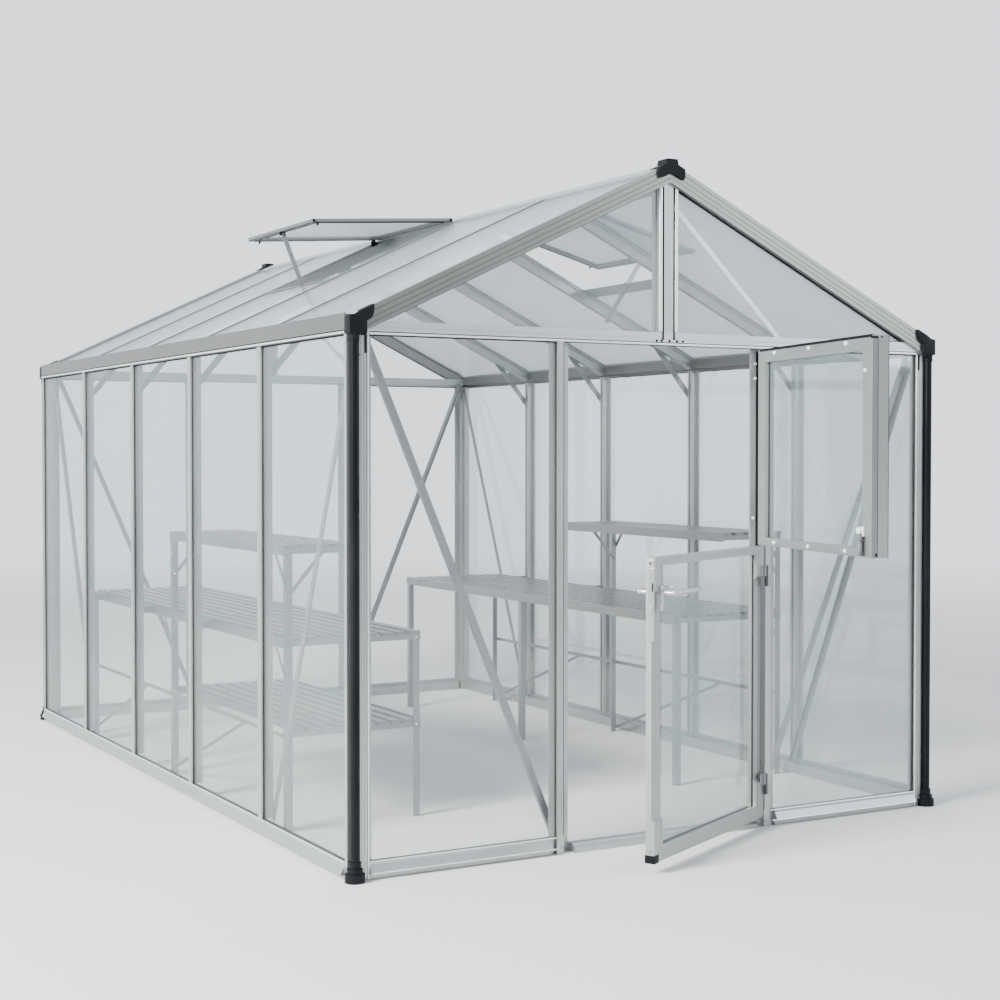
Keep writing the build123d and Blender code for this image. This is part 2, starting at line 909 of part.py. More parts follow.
def build_braces():
    knees = []
    for y in bar_lines[1:-1]:
        p = (-seat_x - wall_depth / 3, wall_top - knee_drop)
        q_x = -seat_x + knee_reach
        q = (q_x, seat_height(q_x) - roof_body_depth / 2 / cos_roof)
        side = y + max(bar_body, roof_body) / 2
        knees.append(along_y(strip_outline(p, q, brace_width), side, side + brace_thick))
    keep("knee_braces", *knees)
    keep("knee_braces", *[to_right(knee) for knee in knees])
    d0 = wall_depth
    d1 = wall_depth + brace_thick
    high = (-half + corner_body + brace_inset, wall_top + beam_height / 3)
    low = (-rebate_half - brace_thick, sill_height - brace_foot)
    lip_high, lip_low = brace_lip(high, low, brace_width, brace_thick)
    front = along_y(strip_outline(high, low, brace_width), d0, d1)
    front = front + along_y(strip_outline(lip_high, lip_low, brace_thick), d0, d0 + brace_lip_depth)
    back = to_back(front)
    keep("wind_braces", front, to_right(front), back, to_right(back))
    high = (corner_body - brace_thick, wall_top - side_brace_drop)
    low = (bar_lines[1] - cap_thick, sill_height - brace_inset)
    lip_high, lip_low = brace_lip(low, high, brace_width, brace_thick)
    side = along_x(strip_outline(high, low, brace_width), d0 - half, d1 - half)
    lip = strip_outline(lip_high, lip_low, brace_thick)
    side = side + along_x(lip, d0 - half, d0 - half + brace_lip_depth)
    back = to_back(side)
    keep("wind_braces", side, to_right(side), back, to_right(back))
    p = (king_width / 4, seat_height(king_width / 4) - verge_below / cos_roof - gable_brace_drop)
    q = (p[0] + (p[1] - beam_top) * gable_brace_slant, beam_top - beam_height / 3)
    gable = along_y(strip_outline(p, q, gable_brace_width), d0, d1)
    keep("gable_braces", gable, to_back(gable))


# Split door


def leaf_frame(x0, x1, z0, z1, low_rail, high_rail):
    """A leaf frame in its closed place, with a glass slot and a bevelled bead outside."""
    slot0 = leaf_thick / 2 - leaf_slot_front
    slot1 = slot0 + glass_slot
    body = block(x0, x1, 0, leaf_thick, z0, z1)
    window = block(x0 + stile, x1 - stile, -cut_over, cut_over, z0 + low_rail, z1 - high_rail)
    body = body - window
    bevel = Plane(origin=((x0 + x1) / 2, 0, (z0 + low_rail + z1 - high_rail) / 2), z_dir=(0, -1, 0))
    wide = x1 - x0 - 2 * stile
    tall = z1 - z0 - low_rail - high_rail
    outer = bevel * Rectangle(wide + 2 * bead, tall + 2 * bead)
    inner = bevel.offset(-bead) * Rectangle(wide, tall)
    body = body - loft([inner.face(), outer.face()])
    slot = block(
        x0 + stile - leaf_slot_bite,
        x1 - stile + leaf_slot_bite,
        slot0,
        slot1,
        z0 + low_rail - leaf_slot_bite,
        z1 - high_rail + leaf_slot_bite,
    )
    body = body - slot
    bite = leaf_slot_bite - glass_gap
    glass = block(
        x0 + stile - bite,
        x1 - stile + bite,
        slot1 - glass_thick,
        slot1,
        z0 + low_rail - bite,
        z1 - high_rail + bite,
    )
    return body, glass


def hinge_pair(z, swing):
    """Post half and leaf half of one door hinge, the leaf half turned by swing."""
    x0 = rebate_half
    low = z - hinge_leaf
    mid = z - hinge_fit / 2
    top = z + hinge_leaf
    arm0 = -hinge_out - hinge_arm_back
    arm1 = hinge_arm_bite - hinge_plate
    post_plate = block(x0, x0 + hinge_flap - hinge_arm_back, -hinge_plate, 0, low, mid)
    post_arm = block(hinge_x, x0 + hinge_arm, arm0, arm1, low, mid)
    barrel = tube(hinge_x, -hinge_out, low, mid, hinge_radius)
    pin = tube(hinge_x, -hinge_out, z - hinge_fit, top - hinge_plate, hinge_pin)
    post_half = barrel + post_plate + post_arm + pin
    edge = rebate_half - leaf_gap
    mid = z + hinge_fit / 2
    leaf_plate = block(edge - hinge_flap, edge, -hinge_plate, 0, mid, top)
    leaf_arm = block(edge - hinge_arm, hinge_x - hinge_radius / 2, arm0, arm1, mid, top)
    upper = tube(hinge_x, -hinge_out, mid, top, hinge_radius)
    bore = tube(hinge_x, -hinge_out, z, top + cut_over, hinge_pin + hinge_fit)
    leaf_half = (upper + leaf_plate + leaf_arm) - bore
    return post_half, leaf_half.rotate(Axis((hinge_x, -hinge_out, 0), (0, 0, 1)), swing)


def handle_set(x, z):
    """Lever handle through the stile: a rose, a spindle and a lever on each face."""
    plate = handle_plate_thick
    rod = spindle / 2
    tall = lever_height / 2
    reach = lever_stand + lever_thick * 3 / 4
    x0 = x - handle_plate_half
    x1 = x + handle_plate_half
    z0 = z - handle_plate_low
    z1 = z + handle_plate_high
    outside = block(x0, x1, -plate, 0, z0, z1)
    outside = outside + block(x - rod, x + rod, -lever_stand, -plate, z - rod, z + rod)
    outside = outside + block(x - rod, x + lever_length, -reach, lever_thick - reach, z - tall, z + tall)
    back = leaf_thick
    inside = block(x0, x1, back, back + plate, z0, z1)
    inside = inside + block(x - rod, x + rod, back + plate, back + lever_stand, z - rod, z + rod)
    near = back + reach
    bar = block(x - rod, x + lever_length, near - lever_thick, near, z - tall, z + tall)
    return outside, inside + bar


def build_door():
    swing_axis = Axis((hinge_x, -hinge_out, 0), (0, 0, 1))
    x0 = leaf_gap - rebate_half
    x1 = rebate_half - leaf_gap
    split = leaf_gap / 2
    rows = [
        ("lower", leaf_bottom, split_height - split, bottom_rail, middle_rail, lower_leaf_open),
        ("upper", split_height + split, leaf_top, middle_rail, top_rail, upper_leaf_open),
    ]
    post_halves = []
    for name, z0, z1, low_rail, high_rail, swing in rows:
        body, glass = leaf_frame(x0, x1, z0, z1, low_rail, high_rail)
        if name == "upper":
            body = body + block(x0, x0 + edge_strip_wide, -edge_strip_deep, 0, z0, z1)
        keep(name + "_leaf_frame", body.rotate(swing_axis, swing))
        keep(name + "_leaf_glass", glass.rotate(swing_axis, swing))
        leaf_halves = []
        for z in (z0 + hinge_low, z1 - hinge_high):
            post_half, leaf_half = hinge_pair(z, swing)
            post_halves.append(post_half)
            leaf_halves.append(leaf_half)
        keep(name + "_leaf_hinges", *leaf_halves)
    keep("post_hinges", *post_halves)
    outside, inside = handle_set(x0 + handle_backset, handle_height)
    keep(
        "lower_leaf_handle",
        outside.rotate(swing_axis, lower_leaf_open),
        inside.rotate(swing_axis, lower_leaf_open),
    )
    z = split_height + split + catch_rise
    tall = catch_tall / 2
    catch_x = x0 + catch_edge
    catch = block(catch_x, catch_x + catch_wide, -catch_deep, 0, z - tall, z + tall)
    tall = bolt_tall / 2
    back = leaf_thick + bolt_deep
    bolt = block(x0 + handle_backset, x0 + stile, leaf_thick, back, z - tall, z + tall)
    keep(
        "upper_leaf_catch",
        catch.rotate(swing_axis, upper_leaf_open),
        bolt.rotate(swing_axis, upper_leaf_open),
    )


# Staging benches


def bearer_bar(x0, x1, y, top):
    """Angle bearer under the slats of one shelf, across a bench."""
    a0 = x0 + bearer_inset
    a1 = x1 - bearer_inset
    web = block(a0, a1, y + leg_wall - bearer_inset, y + 2 * leg_wall, top - bearer, top)
    return web + block(a0, a1, y + bearer_inset, y + bearer, top - leg_wall, top)


def bench_portal(y, x0, x1, levels):
    """Two angle legs with cross bearers, and an arm with a strut for an upper shelf."""
    high = max(levels)
    rear = block(x0, x0 + leg_size, y, y + leg_wall, 0, high - slat_thick)
    rear = rear + block(x0, x0 + leg_wall, y, y + leg_size, 0, high - slat_thick)
    front_top = main_shelf - slat_thick
    front = block(x1 - leg_size, x1, y, y + leg_wall, 0, front_top)
    front = front + block(x1 - leg_wall, x1, y, y + leg_size, 0, front_top)
    portal = rear + front
    for level in levels:
        top = level - slat_thick
        if level > main_shelf:
            portal = portal + bearer_bar(x0, x0 + upper_depth, y, top)
            p = (x0 + leg_size / 2, top - strut_drop)
            q = (x0 + upper_depth / 2, top - bearer / 2)
            strut = strip_outline(p, q, knee_width)
            portal = portal + along_y(strut, y + leg_wall - bearer_inset, y + 2 * leg_wall)
        else:
            portal = portal + bearer_bar(x0, x1, y, top)
    return portal


def slat_row(x0, x1, y0, y1, level, count):
    """Slats along Y, evenly spaced from x0 to x1, with their tops at a level."""
    pitch = (x1 - x0 + slat_gap) / count
    rows = []
    for k in range(count):
        x = x0 + pitch * k
        rows.append(block(x, x + pitch - slat_gap, y0, y1, level - slat_thick, level))
    return rows


def shelf_rail(x, y0, y1, level):
    """Edge rail along a shelf, level with its slats' tops."""
    return block(x, x + rail_thick, y0, y1, level - rail_height, level)


def rail_knees(x, stations, y0, y1, level):
    """Short struts from the rear legs up to the rail above them, within y0 and y1."""
    knees = []
    for y in stations:
        for reach in (-knee_run, knee_run):
            foot = (y + leg_size / 2, level - rail_height - knee_run)
            head = (foot[0] + reach, level - rail_height / 2)
            if y0 < head[0] < y1:
                knees.append(along_x(strip_outline(foot, head, knee_width), x, x + rail_thick))
    return knees


def rear_frame(x0, stations):
    """Rails, knees and low struts behind the rear legs, tied back to the wall bars."""
    x = x0 - rail_thick
    y0 = stations[0]
    y1 = stations[2] + leg_size
    split = stations[1] + leg_size
    main = shelf_rail(x, y0, y1, main_shelf)
    for knee in rail_knees(x, stations, y0, y1, main_shelf):
        main = main + knee
    for bar in bar_lines[1:-1]:
        y = bar + bolt_channel
        if y0 < y < y1 - rail_thick:
            z1 = main_shelf
            main = main + block(wall_depth - half, x0 - bearer_inset, y, y + rail_thick, z1 - tie_height, z1)
    upper = shelf_rail(x, y0, split, upper_shelf)
    for knee in rail_knees(x, stations[:2], y0, split, upper_shelf):
        upper = upper + knee
    low = block(x, x0, y0, y1, low_rail_height - low_rail_size, low_rail_height)
    for y in stations[1:]:
        foot = (y + leg_size / 2, low_rail_size)
        head = (foot[0] - low_strut_run, low_rail_height - low_rail_size / 2)
        low = low + along_x(strip_outline(foot, head, knee_width), x, x0)
    return [main, upper, low]


def build_bench(side, has_lower):
    """A staging bench along one long wall, with an upper shelf over its front half."""
    x0 = bench_clear + wall_depth - half
    x1 = x0 + bench_depth
    stations = [bench_start, bench_split, bench_start + bench_length - leg_size]
    y1 = bench_start + bench_length
    split = bench_split + leg_size
    levels = [[main_shelf, upper_shelf], [main_shelf, upper_shelf], [main_shelf]]
    slat_x = x0 + leg_size + slat_inset
    slats = slat_row(slat_x, x1, bench_start, y1, main_shelf, main_slats)
    slats += slat_row(x0 + leg_wall, x0 + upper_depth, bench_start, split, upper_shelf, upper_slats)
    rails = rear_frame(x0, stations)
    rails.append(shelf_rail(x1, bench_start, y1, main_shelf))
    rails.append(shelf_rail(x0 + upper_depth, bench_start, split, upper_shelf))
    if has_lower:
        levels[0].append(lower_shelf)
        levels[1].append(lower_shelf)
        slat_end = x1 - leg_size - slat_inset
        slats += slat_row(slat_x, slat_end, bench_start, split, lower_shelf, main_slats)
        rails.append(shelf_rail(x1, bench_start, split, lower_shelf))
    frames = [bench_portal(y, x0, x1, levels[k]) for k, y in enumerate(stations)]
    groups = {"frames": frames, "slats": slats, "rails": rails}
    for name, pieces in groups.items():
        if side == "right":
            pieces = [to_right(piece) for piece in pieces]
        keep(side + "_bench_" + name, *pieces)


def write_parts():
    os.makedirs("parts", exist_ok=True)
    for name, solids in parts.items():
        export_step(Compound(solids), "parts/" + name + ".step")


front_post = corner_post()
build_sills(front_post)
build_corner_posts(front_post)
build_door_posts()
build_wall_bars()
build_glass()
front_verge = verge_bar()
ridge_solid = build_ridge()
build_gables(front_verge, ridge_solid)
corner_outlet = outlet_block()
roof_bars = build_roof(ridge_solid, front_verge, corner_outlet)
build_vent("left", roof_bars)
build_vent("right", roof_bars)
build_gutters()
build_drainage(corner_outlet, front_post)
build_ridge_caps()
build_braces()
build_door()
build_bench("left", True)
build_bench("right", False)
write_parts()
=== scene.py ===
import math

import bmesh
import bpy
from mathutils import Matrix, Vector


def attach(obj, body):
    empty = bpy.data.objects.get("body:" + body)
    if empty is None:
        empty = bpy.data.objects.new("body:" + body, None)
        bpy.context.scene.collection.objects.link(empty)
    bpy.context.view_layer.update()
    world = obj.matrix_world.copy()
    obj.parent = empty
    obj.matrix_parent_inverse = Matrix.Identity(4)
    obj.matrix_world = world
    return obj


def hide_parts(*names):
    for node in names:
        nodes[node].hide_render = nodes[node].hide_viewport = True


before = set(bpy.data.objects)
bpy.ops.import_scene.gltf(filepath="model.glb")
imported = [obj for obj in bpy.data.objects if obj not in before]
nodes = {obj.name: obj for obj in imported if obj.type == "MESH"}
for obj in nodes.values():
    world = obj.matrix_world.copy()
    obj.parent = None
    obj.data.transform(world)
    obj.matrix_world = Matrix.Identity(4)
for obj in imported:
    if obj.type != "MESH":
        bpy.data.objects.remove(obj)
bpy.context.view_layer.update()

# Camera: eye height, in front of the door gable and to its left, with a lens that fits the lines of
# the photograph.
camera_data = bpy.data.cameras.new("camera")
camera_data.sensor_width = 36.0
camera_data.lens = 60.896
camera_data.shift_x = 0.0162
camera_data.shift_y = -0.0098
camera_data.clip_end = 200.0
camera = bpy.data.objects.new("camera", camera_data)
camera.location = (-3.461, -4.893, 1.370)
camera.rotation_euler = (math.radians(90 - 1.28), 0, math.radians(-29.05))
bpy.context.scene.collection.objects.link(camera)
bpy.context.scene.camera = camera

# Studio light: a pale dome, brighter behind the house than behind the camera, a soft key light from
# the left and a weak fill from the right, so that each bar shows a lit and a shaded face.
world = bpy.data.worlds.new("studio")
bpy.context.scene.world = world
world.use_nodes = True
tree = world.node_tree
background = tree.nodes["Background"]
background.inputs["Color"].default_value = (0.90, 0.94, 1.0, 1)
place = tree.nodes.new("ShaderNodeTexCoord")
along = tree.nodes.new("ShaderNodeVectorMath")
along.operation = "DOT_PRODUCT"
bright_side = (0.47, 0.85, 0.24)
along.inputs[1].default_value = bright_side
bright = tree.nodes.new("ShaderNodeMapRange")
bright.interpolation_type = "SMOOTHSTEP"
bright.inputs["From Min"].default_value = -0.5
bright.inputs["From Max"].default_value = 0.75
bright.inputs["To Min"].default_value = 0.70
bright.inputs["To Max"].default_value = 1.90
tree.links.new(place.outputs["Generated"], along.inputs[0])
tree.links.new(along.outputs["Value"], bright.inputs["Value"])
tree.links.new(bright.outputs["Result"], background.inputs["Strength"])


def area_light(name, at, target, size, power, colour):
    """A round soft lamp that looks from one point to another."""
    data = bpy.data.lights.new(name, "AREA")
    data.shape = "DISK"
    data.size = size
    data.energy = power
    data.color = colour
    lamp = bpy.data.objects.new(name, data)
    lamp.location = at
    way = Vector(target) - Vector(at)
    lamp.rotation_euler = way.to_track_quat("-Z", "Y").to_euler()
    bpy.context.scene.collection.objects.link(lamp)


area_light("key", (-10.5, -1.5, 6.5), (0, 1.5, 1.0), 4.0, 4400, (1.0, 0.98, 0.94))
area_light("fill", (7.0, -6.0, 4.5), (0, 1.0, 1.0), 5.0, 300, (0.94, 0.97, 1.0))

# Studio floor: one plain pale disc, painted matt, whose edge fades out so that it melts into the dome
# without a horizon line.
floor_mesh = bpy.data.meshes.new("floor")
bm = bmesh.new()
bmesh.ops.create_circle(bm, cap_ends=True, segments=96, radius=30.0)
bm.to_mesh(floor_mesh)
bm.free()
floor = bpy.data.objects.new("floor", floor_mesh)
floor.location = (0, 1.9, -0.0005)
bpy.context.scene.collection.objects.link(floor)
floor_material = bpy.data.materials.new("floor")
floor_material.use_nodes = True
tree = floor_material.node_tree
shader = tree.nodes["Principled BSDF"]
shader.inputs["Base Color"].default_value = (0.70, 0.71, 0.71, 1)
shader.inputs["Roughness"].default_value = 0.9
shader.inputs["Specular IOR Level"].default_value = 0.0
place = tree.nodes.new("ShaderNodeTexCoord")
far = tree.nodes.new("ShaderNodeVectorMath")
far.operation = "LENGTH"
fade = tree.nodes.new("ShaderNodeMapRange")
fade.interpolation_type = "SMOOTHSTEP"
fade.inputs["From Min"].default_value = 4.0
fade.inputs["From Max"].default_value = 16.0
fade.inputs["To Min"].default_value = 1.0
fade.inputs["To Max"].default_value = 0.0
tree.links.new(place.outputs["Object"], far.inputs[0])
tree.links.new(far.outputs["Value"], fade.inputs["Value"])
tree.links.new(fade.outputs["Result"], shader.inputs["Alpha"])
floor.data.materials.append(floor_material)

# Sills and threshold: four mitred aluminium sills with a drip skirt carry the walls, and the doorway
# has a low bevelled tread. They are mill-finish extrusions, with fine die lines along their length.
grain_up = (40, 40, 0.6)
grain_across = (0.6, 40, 40)
grain_along = (40, 0.6, 40)


def node_maker(material):
    """A short way to add nodes to a material's tree."""
    tree = material.node_tree

    def add(kind, **values):
        node = tree.nodes.new(kind)
        for key, value in values.items():
            if key.startswith("in_"):
                slot = key[3:]
                node.inputs[int(slot) if slot.isdigit() else slot].default_value = value
            else:
                setattr(node, key, value)
        return node

    return tree, add


def extruded_metal(name, colour, turn=(0, 0, 0), grain=grain_up, rough=0.38, metal=0.85):
    """Mill-finish aluminium with die lines and faint clouding along the extrusion."""
    material = bpy.data.materials.new(name)
    material.use_nodes = True
    tree, add = node_maker(material)
    shader = tree.nodes["Principled BSDF"]
    shader.inputs["Metallic"].default_value = metal
    place = add("ShaderNodeTexCoord")
    mapped = add("ShaderNodeMapping", in_Rotation=turn, in_Scale=grain)
    lines = add("ShaderNodeTexNoise", in_Scale=14.0, in_Detail=3.0)
    cloud = add("ShaderNodeTexNoise", in_Scale=1.7, in_Detail=2.0)
    tint = add("ShaderNodeValToRGB")
    tint.color_ramp.elements[0].position = 0.32
    tint.color_ramp.elements[0].color = (colour[0] * 0.86, colour[1] * 0.87, colour[2] * 0.88, 1)
    tint.color_ramp.elements[1].position = 0.68
    tint.color_ramp.elements[1].color = (*colour, 1)
    mixed = add("ShaderNodeMath", operation="MULTIPLY_ADD", in_1=0.35)
    dull = add("ShaderNodeMapRange", in_3=rough - 0.07, in_4=rough + 0.09)
    bump = add("ShaderNodeBump", in_Strength=0.06, in_Distance=0.001)
    tree.links.new(place.outputs["Object"], mapped.inputs[0])
    tree.links.new(mapped.outputs[0], lines.inputs[0])
    tree.links.new(place.outputs["Object"], cloud.inputs[0])
    tree.links.new(lines.outputs[0], mixed.inputs[0])
    tree.links.new(cloud.outputs[0], mixed.inputs[2])
    tree.links.new(mixed.outputs[0], tint.inputs[0])
    tree.links.new(tint.outputs[0], shader.inputs["Base Color"])
    tree.links.new(cloud.outputs[0], dull.inputs[0])
    tree.links.new(dull.outputs[0], shader.inputs["Roughness"])
    tree.links.new(lines.outputs[0], bump.inputs["Height"])
    tree.links.new(bump.outputs[0], shader.inputs["Normal"])
    return material


def dress(material, *names):
    """Gives nodes of the frame their material."""
    for name in names:
        nodes[name].data.materials.clear()
        nodes[name].data.materials.append(material)


pale = (0.47, 0.495, 0.50)
cross_metal = extruded_metal("metal_across", pale, grain=grain_across)
long_metal = extruded_metal("metal_along", pale, grain=grain_along)
dress(cross_metal, "front_sill", "back_sill", "door_threshold")
dress(long_metal, "left_sill", "right_sill")

# Posts and wall bars: corner posts, door posts, wall bars and king posts are upright aluminium
# extrusions with glass slots, cut square and bolted between the sills and the eaves.
upright_metal = extruded_metal("metal_upright", (0.49, 0.51, 0.51))
dress(upright_metal, "corner_posts", "left_door_post", "right_door_post", "king_posts")
dress(upright_metal, "left_wall_bars", "right_wall_bars", "back_wall_bars")

# Eaves and ridge: the tie beams close both gables, the box gutters run along the eaves and the ridge
# beam carries the roof bars. Tie beams are paler than the posts, gutters and verges darker and warmer.
tie_metal = extruded_metal("metal_tie", (0.60, 0.63, 0.64), grain=grain_across)
gutter_metal = extruded_metal("metal_gutter", (0.19, 0.195, 0.19), grain=grain_along)
verge_metal = extruded_metal("metal_verge", (0.27, 0.275, 0.265), grain=(2, 40, 40), rough=0.30)
dress(tie_metal, "tie_beams")
dress(long_metal, "ridge_beam")
dress(gutter_metal, "left_gutter", "right_gutter")
dress(verge_metal, "verge_bars")

# Roof bars and vent frames: capped aluminium bars that run down each slope between the sheets, with
# their die lines down the slope. The vents' frames and curbs are given a darker metal, near the tone
# of the eaves: painted shade, for their inner faces and undersides that lie in shade.
slope = math.radians(25.4)
even_grain = (12, 12, 12)
left_slope = extruded_metal("metal_left_slope", pale, turn=(0, slope, 0), grain=grain_across)
right_slope = extruded_metal("metal_right_slope", pale, turn=(0, -slope, 0), grain=grain_across)
shaded_vent_metal = extruded_metal("metal_vent_painted_shade", (0.23, 0.245, 0.24), grain=even_grain)
dress(left_slope, "left_roof_bars")
dress(right_slope, "right_roof_bars")
dress(shaded_vent_metal, "vent_leaf_frames", "vent_curbs")

# Braces, stays and staging: flat bars and small angles of duller aluminium brace the walls, hold the
# vents and make the legs of the staging. Its slats and rails are darker: painted shade, as the staging
# stands in shade inside the house. The gable braces are near white: painted light, as if lit, though
# they stand in the shade of the roof sheets.
bare_metal = extruded_metal("metal_bare", (0.36, 0.38, 0.39), grain=even_grain)
painted_light_metal = extruded_metal("metal_painted_light", (0.95, 0.96, 0.96), rough=0.30, metal=0.8)
shaded_slat_metal = extruded_metal("metal_slats_painted_shade", (0.31, 0.33, 0.33), grain=grain_along)
dress(bare_metal, "vent_stays", "knee_braces", "wind_braces")
dress(painted_light_metal, "gable_braces")
dress(bare_metal, "left_bench_frames", "right_bench_frames")
dress(shaded_slat_metal, "left_bench_slats", "right_bench_slats", "left_bench_rails", "right_bench_rails")

# Wall glass: clear float glass, faintly green, that reflects more where it is seen at a low angle. The
# panes of the walls, the back and both door leaves sit in the slots of their bars.


def clear_glass(name, tint, face, edge):
    """Clear glass, whose veil is thin face on and grows towards an edge-on view."""
    material = bpy.data.materials.new(name)
    material.use_nodes = True
    tree, add = node_maker(material)
    shader = tree.nodes["Principled BSDF"]
    shader.inputs["Metallic"].default_value = 0.9
    shader.inputs["Base Color"].default_value = (*tint, 1)
    shader.inputs["Roughness"].default_value = 0.04
    angle = add("ShaderNodeLayerWeight", in_Blend=0.35)
    place = add("ShaderNodeTexCoord")
    smear = add("ShaderNodeTexNoise", in_Scale=0.9, in_Detail=3.0)
    veil = add("ShaderNodeMapRange", in_3=0.75, in_4=1.25)
    amount = add("ShaderNodeMapRange", in_3=face, in_4=edge)
    total = add("ShaderNodeMath", operation="MULTIPLY")
    tree.links.new(angle.outputs["Fresnel"], amount.inputs[0])
    tree.links.new(place.outputs["Object"], smear.inputs[0])
    tree.links.new(smear.outputs[0], veil.inputs[0])
    tree.links.new(amount.outputs[0], total.inputs[0])
    tree.links.new(veil.outputs[0], total.inputs[1])
    tree.links.new(total.outputs[0], shader.inputs["Alpha"])
    return material


glass = clear_glass("glass_clear", (0.55, 0.66, 0.66), face=0.012, edge=0.38)
dress(glass, "front_glass", "back_glass", "left_glass", "right_glass")
dress(glass, "lower_leaf_glass", "upper_leaf_glass")

# Roof and gable sheets: translucent twin-wall sheets with webs 10 mm apart down the slope, pushed into
# the slots of the verge bars, roof bars and king posts.


def twin_wall(name, across, dark, light, face, edge):
    """Milky sheet with webs across one axis, clouded between a dark and a light tint."""
    material = bpy.data.materials.new(name)
    material.use_nodes = True
    tree, add = node_maker(material)
    shader = tree.nodes["Principled BSDF"]
    shader.inputs["Roughness"].default_value = 0.16
    place = add("ShaderNodeTexCoord")
    webs = add("ShaderNodeTexWave", wave_type="BANDS", bands_direction=across, in_Scale=31.4)
    sharp = add("ShaderNodeMapRange", in_1=0.55, in_2=0.95)
    cloud = add("ShaderNodeTexNoise", in_Scale=0.8, in_Detail=2.0)
    tint = add("ShaderNodeMix", data_type="RGBA")
    tint.inputs["A"].default_value = (*dark, 1)
    tint.inputs["B"].default_value = (*light, 1)
    angle = add("ShaderNodeLayerWeight", in_Blend=0.45)
    base = add("ShaderNodeMapRange", in_3=face, in_4=edge)
    more = add("ShaderNodeMath", operation="MULTIPLY_ADD", in_1=0.04)
    bump = add("ShaderNodeBump", in_Strength=0.08, in_Distance=0.001)
    tree.links.new(place.outputs["Object"], webs.inputs[0])
    tree.links.new(webs.outputs["Fac"], sharp.inputs[0])
    tree.links.new(place.outputs["Object"], cloud.inputs[0])
    tree.links.new(cloud.outputs[0], tint.inputs["Factor"])
    tree.links.new(tint.outputs["Result"], shader.inputs["Base Color"])
    tree.links.new(angle.outputs["Fresnel"], base.inputs[0])
    tree.links.new(sharp.outputs[0], more.inputs[0])
    tree.links.new(base.outputs[0], more.inputs[2])
    tree.links.new(more.outputs[0], shader.inputs["Alpha"])
    tree.links.new(webs.outputs["Fac"], bump.inputs["Height"])
    tree.links.new(bump.outputs[0], shader.inputs["Normal"])
    return material


# The roof sheets' tints are darker than the gable's and clouded with more contrast: partly painted shade
# and reflection, blue-grey shading and pale sky reflections spread at random over the slopes.
roof_sheet = twin_wall(
    "sheet_roof", "Y", dark=(0.30, 0.37, 0.42), light=(0.70, 0.78, 0.82), face=0.10, edge=0.60
)
gable_sheet = twin_wall(
    "sheet_gable", "X", dark=(0.50, 0.58, 0.63), light=(0.68, 0.75, 0.79), face=0.03, edge=0.22
)
dress(roof_sheet, "left_roof_sheets", "right_roof_sheets", "vent_sheets")
dress(gable_sheet, "front_gable_sheets", "back_gable_sheets")

# Rainwater pieces: a moulded black outlet closes each end of the gutters, with a rounded hood over the
# verge and a collar for the downpipe. Pipes and stepped feet are the same black plastic, pushed on.


def black_plastic(name, rough, grain):
    """Black plastic or rubber with a fine moulded grain and a trace of dust."""
    material = bpy.data.materials.new(name)
    material.use_nodes = True
    tree, add = node_maker(material)
    shader = tree.nodes["Principled BSDF"]
    shader.inputs["Roughness"].default_value = rough
    shader.inputs["Specular IOR Level"].default_value = 0.15
    place = add("ShaderNodeTexCoord")
    noise = add("ShaderNodeTexNoise", in_Scale=grain, in_Detail=4.0)
    dust = add("ShaderNodeTexNoise", in_Scale=3.0, in_Detail=3.0)
    tint = add("ShaderNodeValToRGB")
    tint.color_ramp.elements[0].position = 0.4
    tint.color_ramp.elements[0].color = (0.003, 0.0035, 0.005, 1)
    tint.color_ramp.elements[1].position = 0.75
    tint.color_ramp.elements[1].color = (0.008, 0.009, 0.012, 1)
    bump = add("ShaderNodeBump", in_Strength=0.12, in_Distance=0.0006)
    tree.links.new(place.outputs["Object"], noise.inputs[0])
    tree.links.new(place.outputs["Object"], dust.inputs[0])
    tree.links.new(dust.outputs[0], tint.inputs[0])
    tree.links.new(tint.outputs[0], shader.inputs["Base Color"])
    tree.links.new(noise.outputs[0], bump.inputs["Height"])
    tree.links.new(bump.outputs[0], shader.inputs["Normal"])
    return material


def add_part(bm, part, place):
    """Joins a finished part to a piece's mesh, at its place in the house."""
    part.transform(place)
    shape = bpy.data.meshes.new("part")
    part.to_mesh(shape)
    part.free()
    bm.from_mesh(shape)
    bpy.data.meshes.remove(shape)


def slab(bm, place, low, high, bevel=0.0008, segments=2):
    """A block between two corners of a place, with rounded edges."""
    part = bmesh.new()
    bmesh.ops.create_cube(part, size=1.0)
    size = [high[k] - low[k] for k in range(3)]
    middle = [low[k] + size[k] / 2 for k in range(3)]
    bmesh.ops.scale(part, vec=size, verts=part.verts[:])
    bmesh.ops.translate(part, vec=middle, verts=part.verts[:])
    edges = part.edges[:]
    bmesh.ops.bevel(
        part, geom=edges, offset=bevel, segments=segments, profile=0.5, affect="EDGES", material=-1
    )
    add_part(bm, part, place)


def strip(bm, place, low, high, bevel=0.0004):
    """A long thin strip between two corners of a place, with its edges broken."""
    slab(bm, place, low, high, bevel, segments=1)


def draw_out(part, faces, depth):
    """Draws faces of a part out along Z, as a die draws out a profile."""
    raised = bmesh.ops.extrude_face_region(part, geom=faces)["geom"]
    moved = [item for item in raised if isinstance(item, bmesh.types.BMVert)]
    bmesh.ops.translate(part, vec=(0, 0, depth), verts=moved)


def plate(bm, place, outline, depth, bevel=0.0):
    """A closed outline in the XY plane of a place, extruded along its Z axis, with a rounded near rim."""
    part = bmesh.new()
    face = part.faces.new([part.verts.new((x, y, 0)) for x, y in outline])
    draw_out(part, [face], depth)
    if bevel:
        rim = [edge for edge in part.edges if all(abs(vert.co.z) < 1e-6 for vert in edge.verts)]
        bmesh.ops.bevel(part, geom=rim, offset=bevel, segments=3, profile=0.5, affect="EDGES", material=-1)
    add_part(bm, part, place)


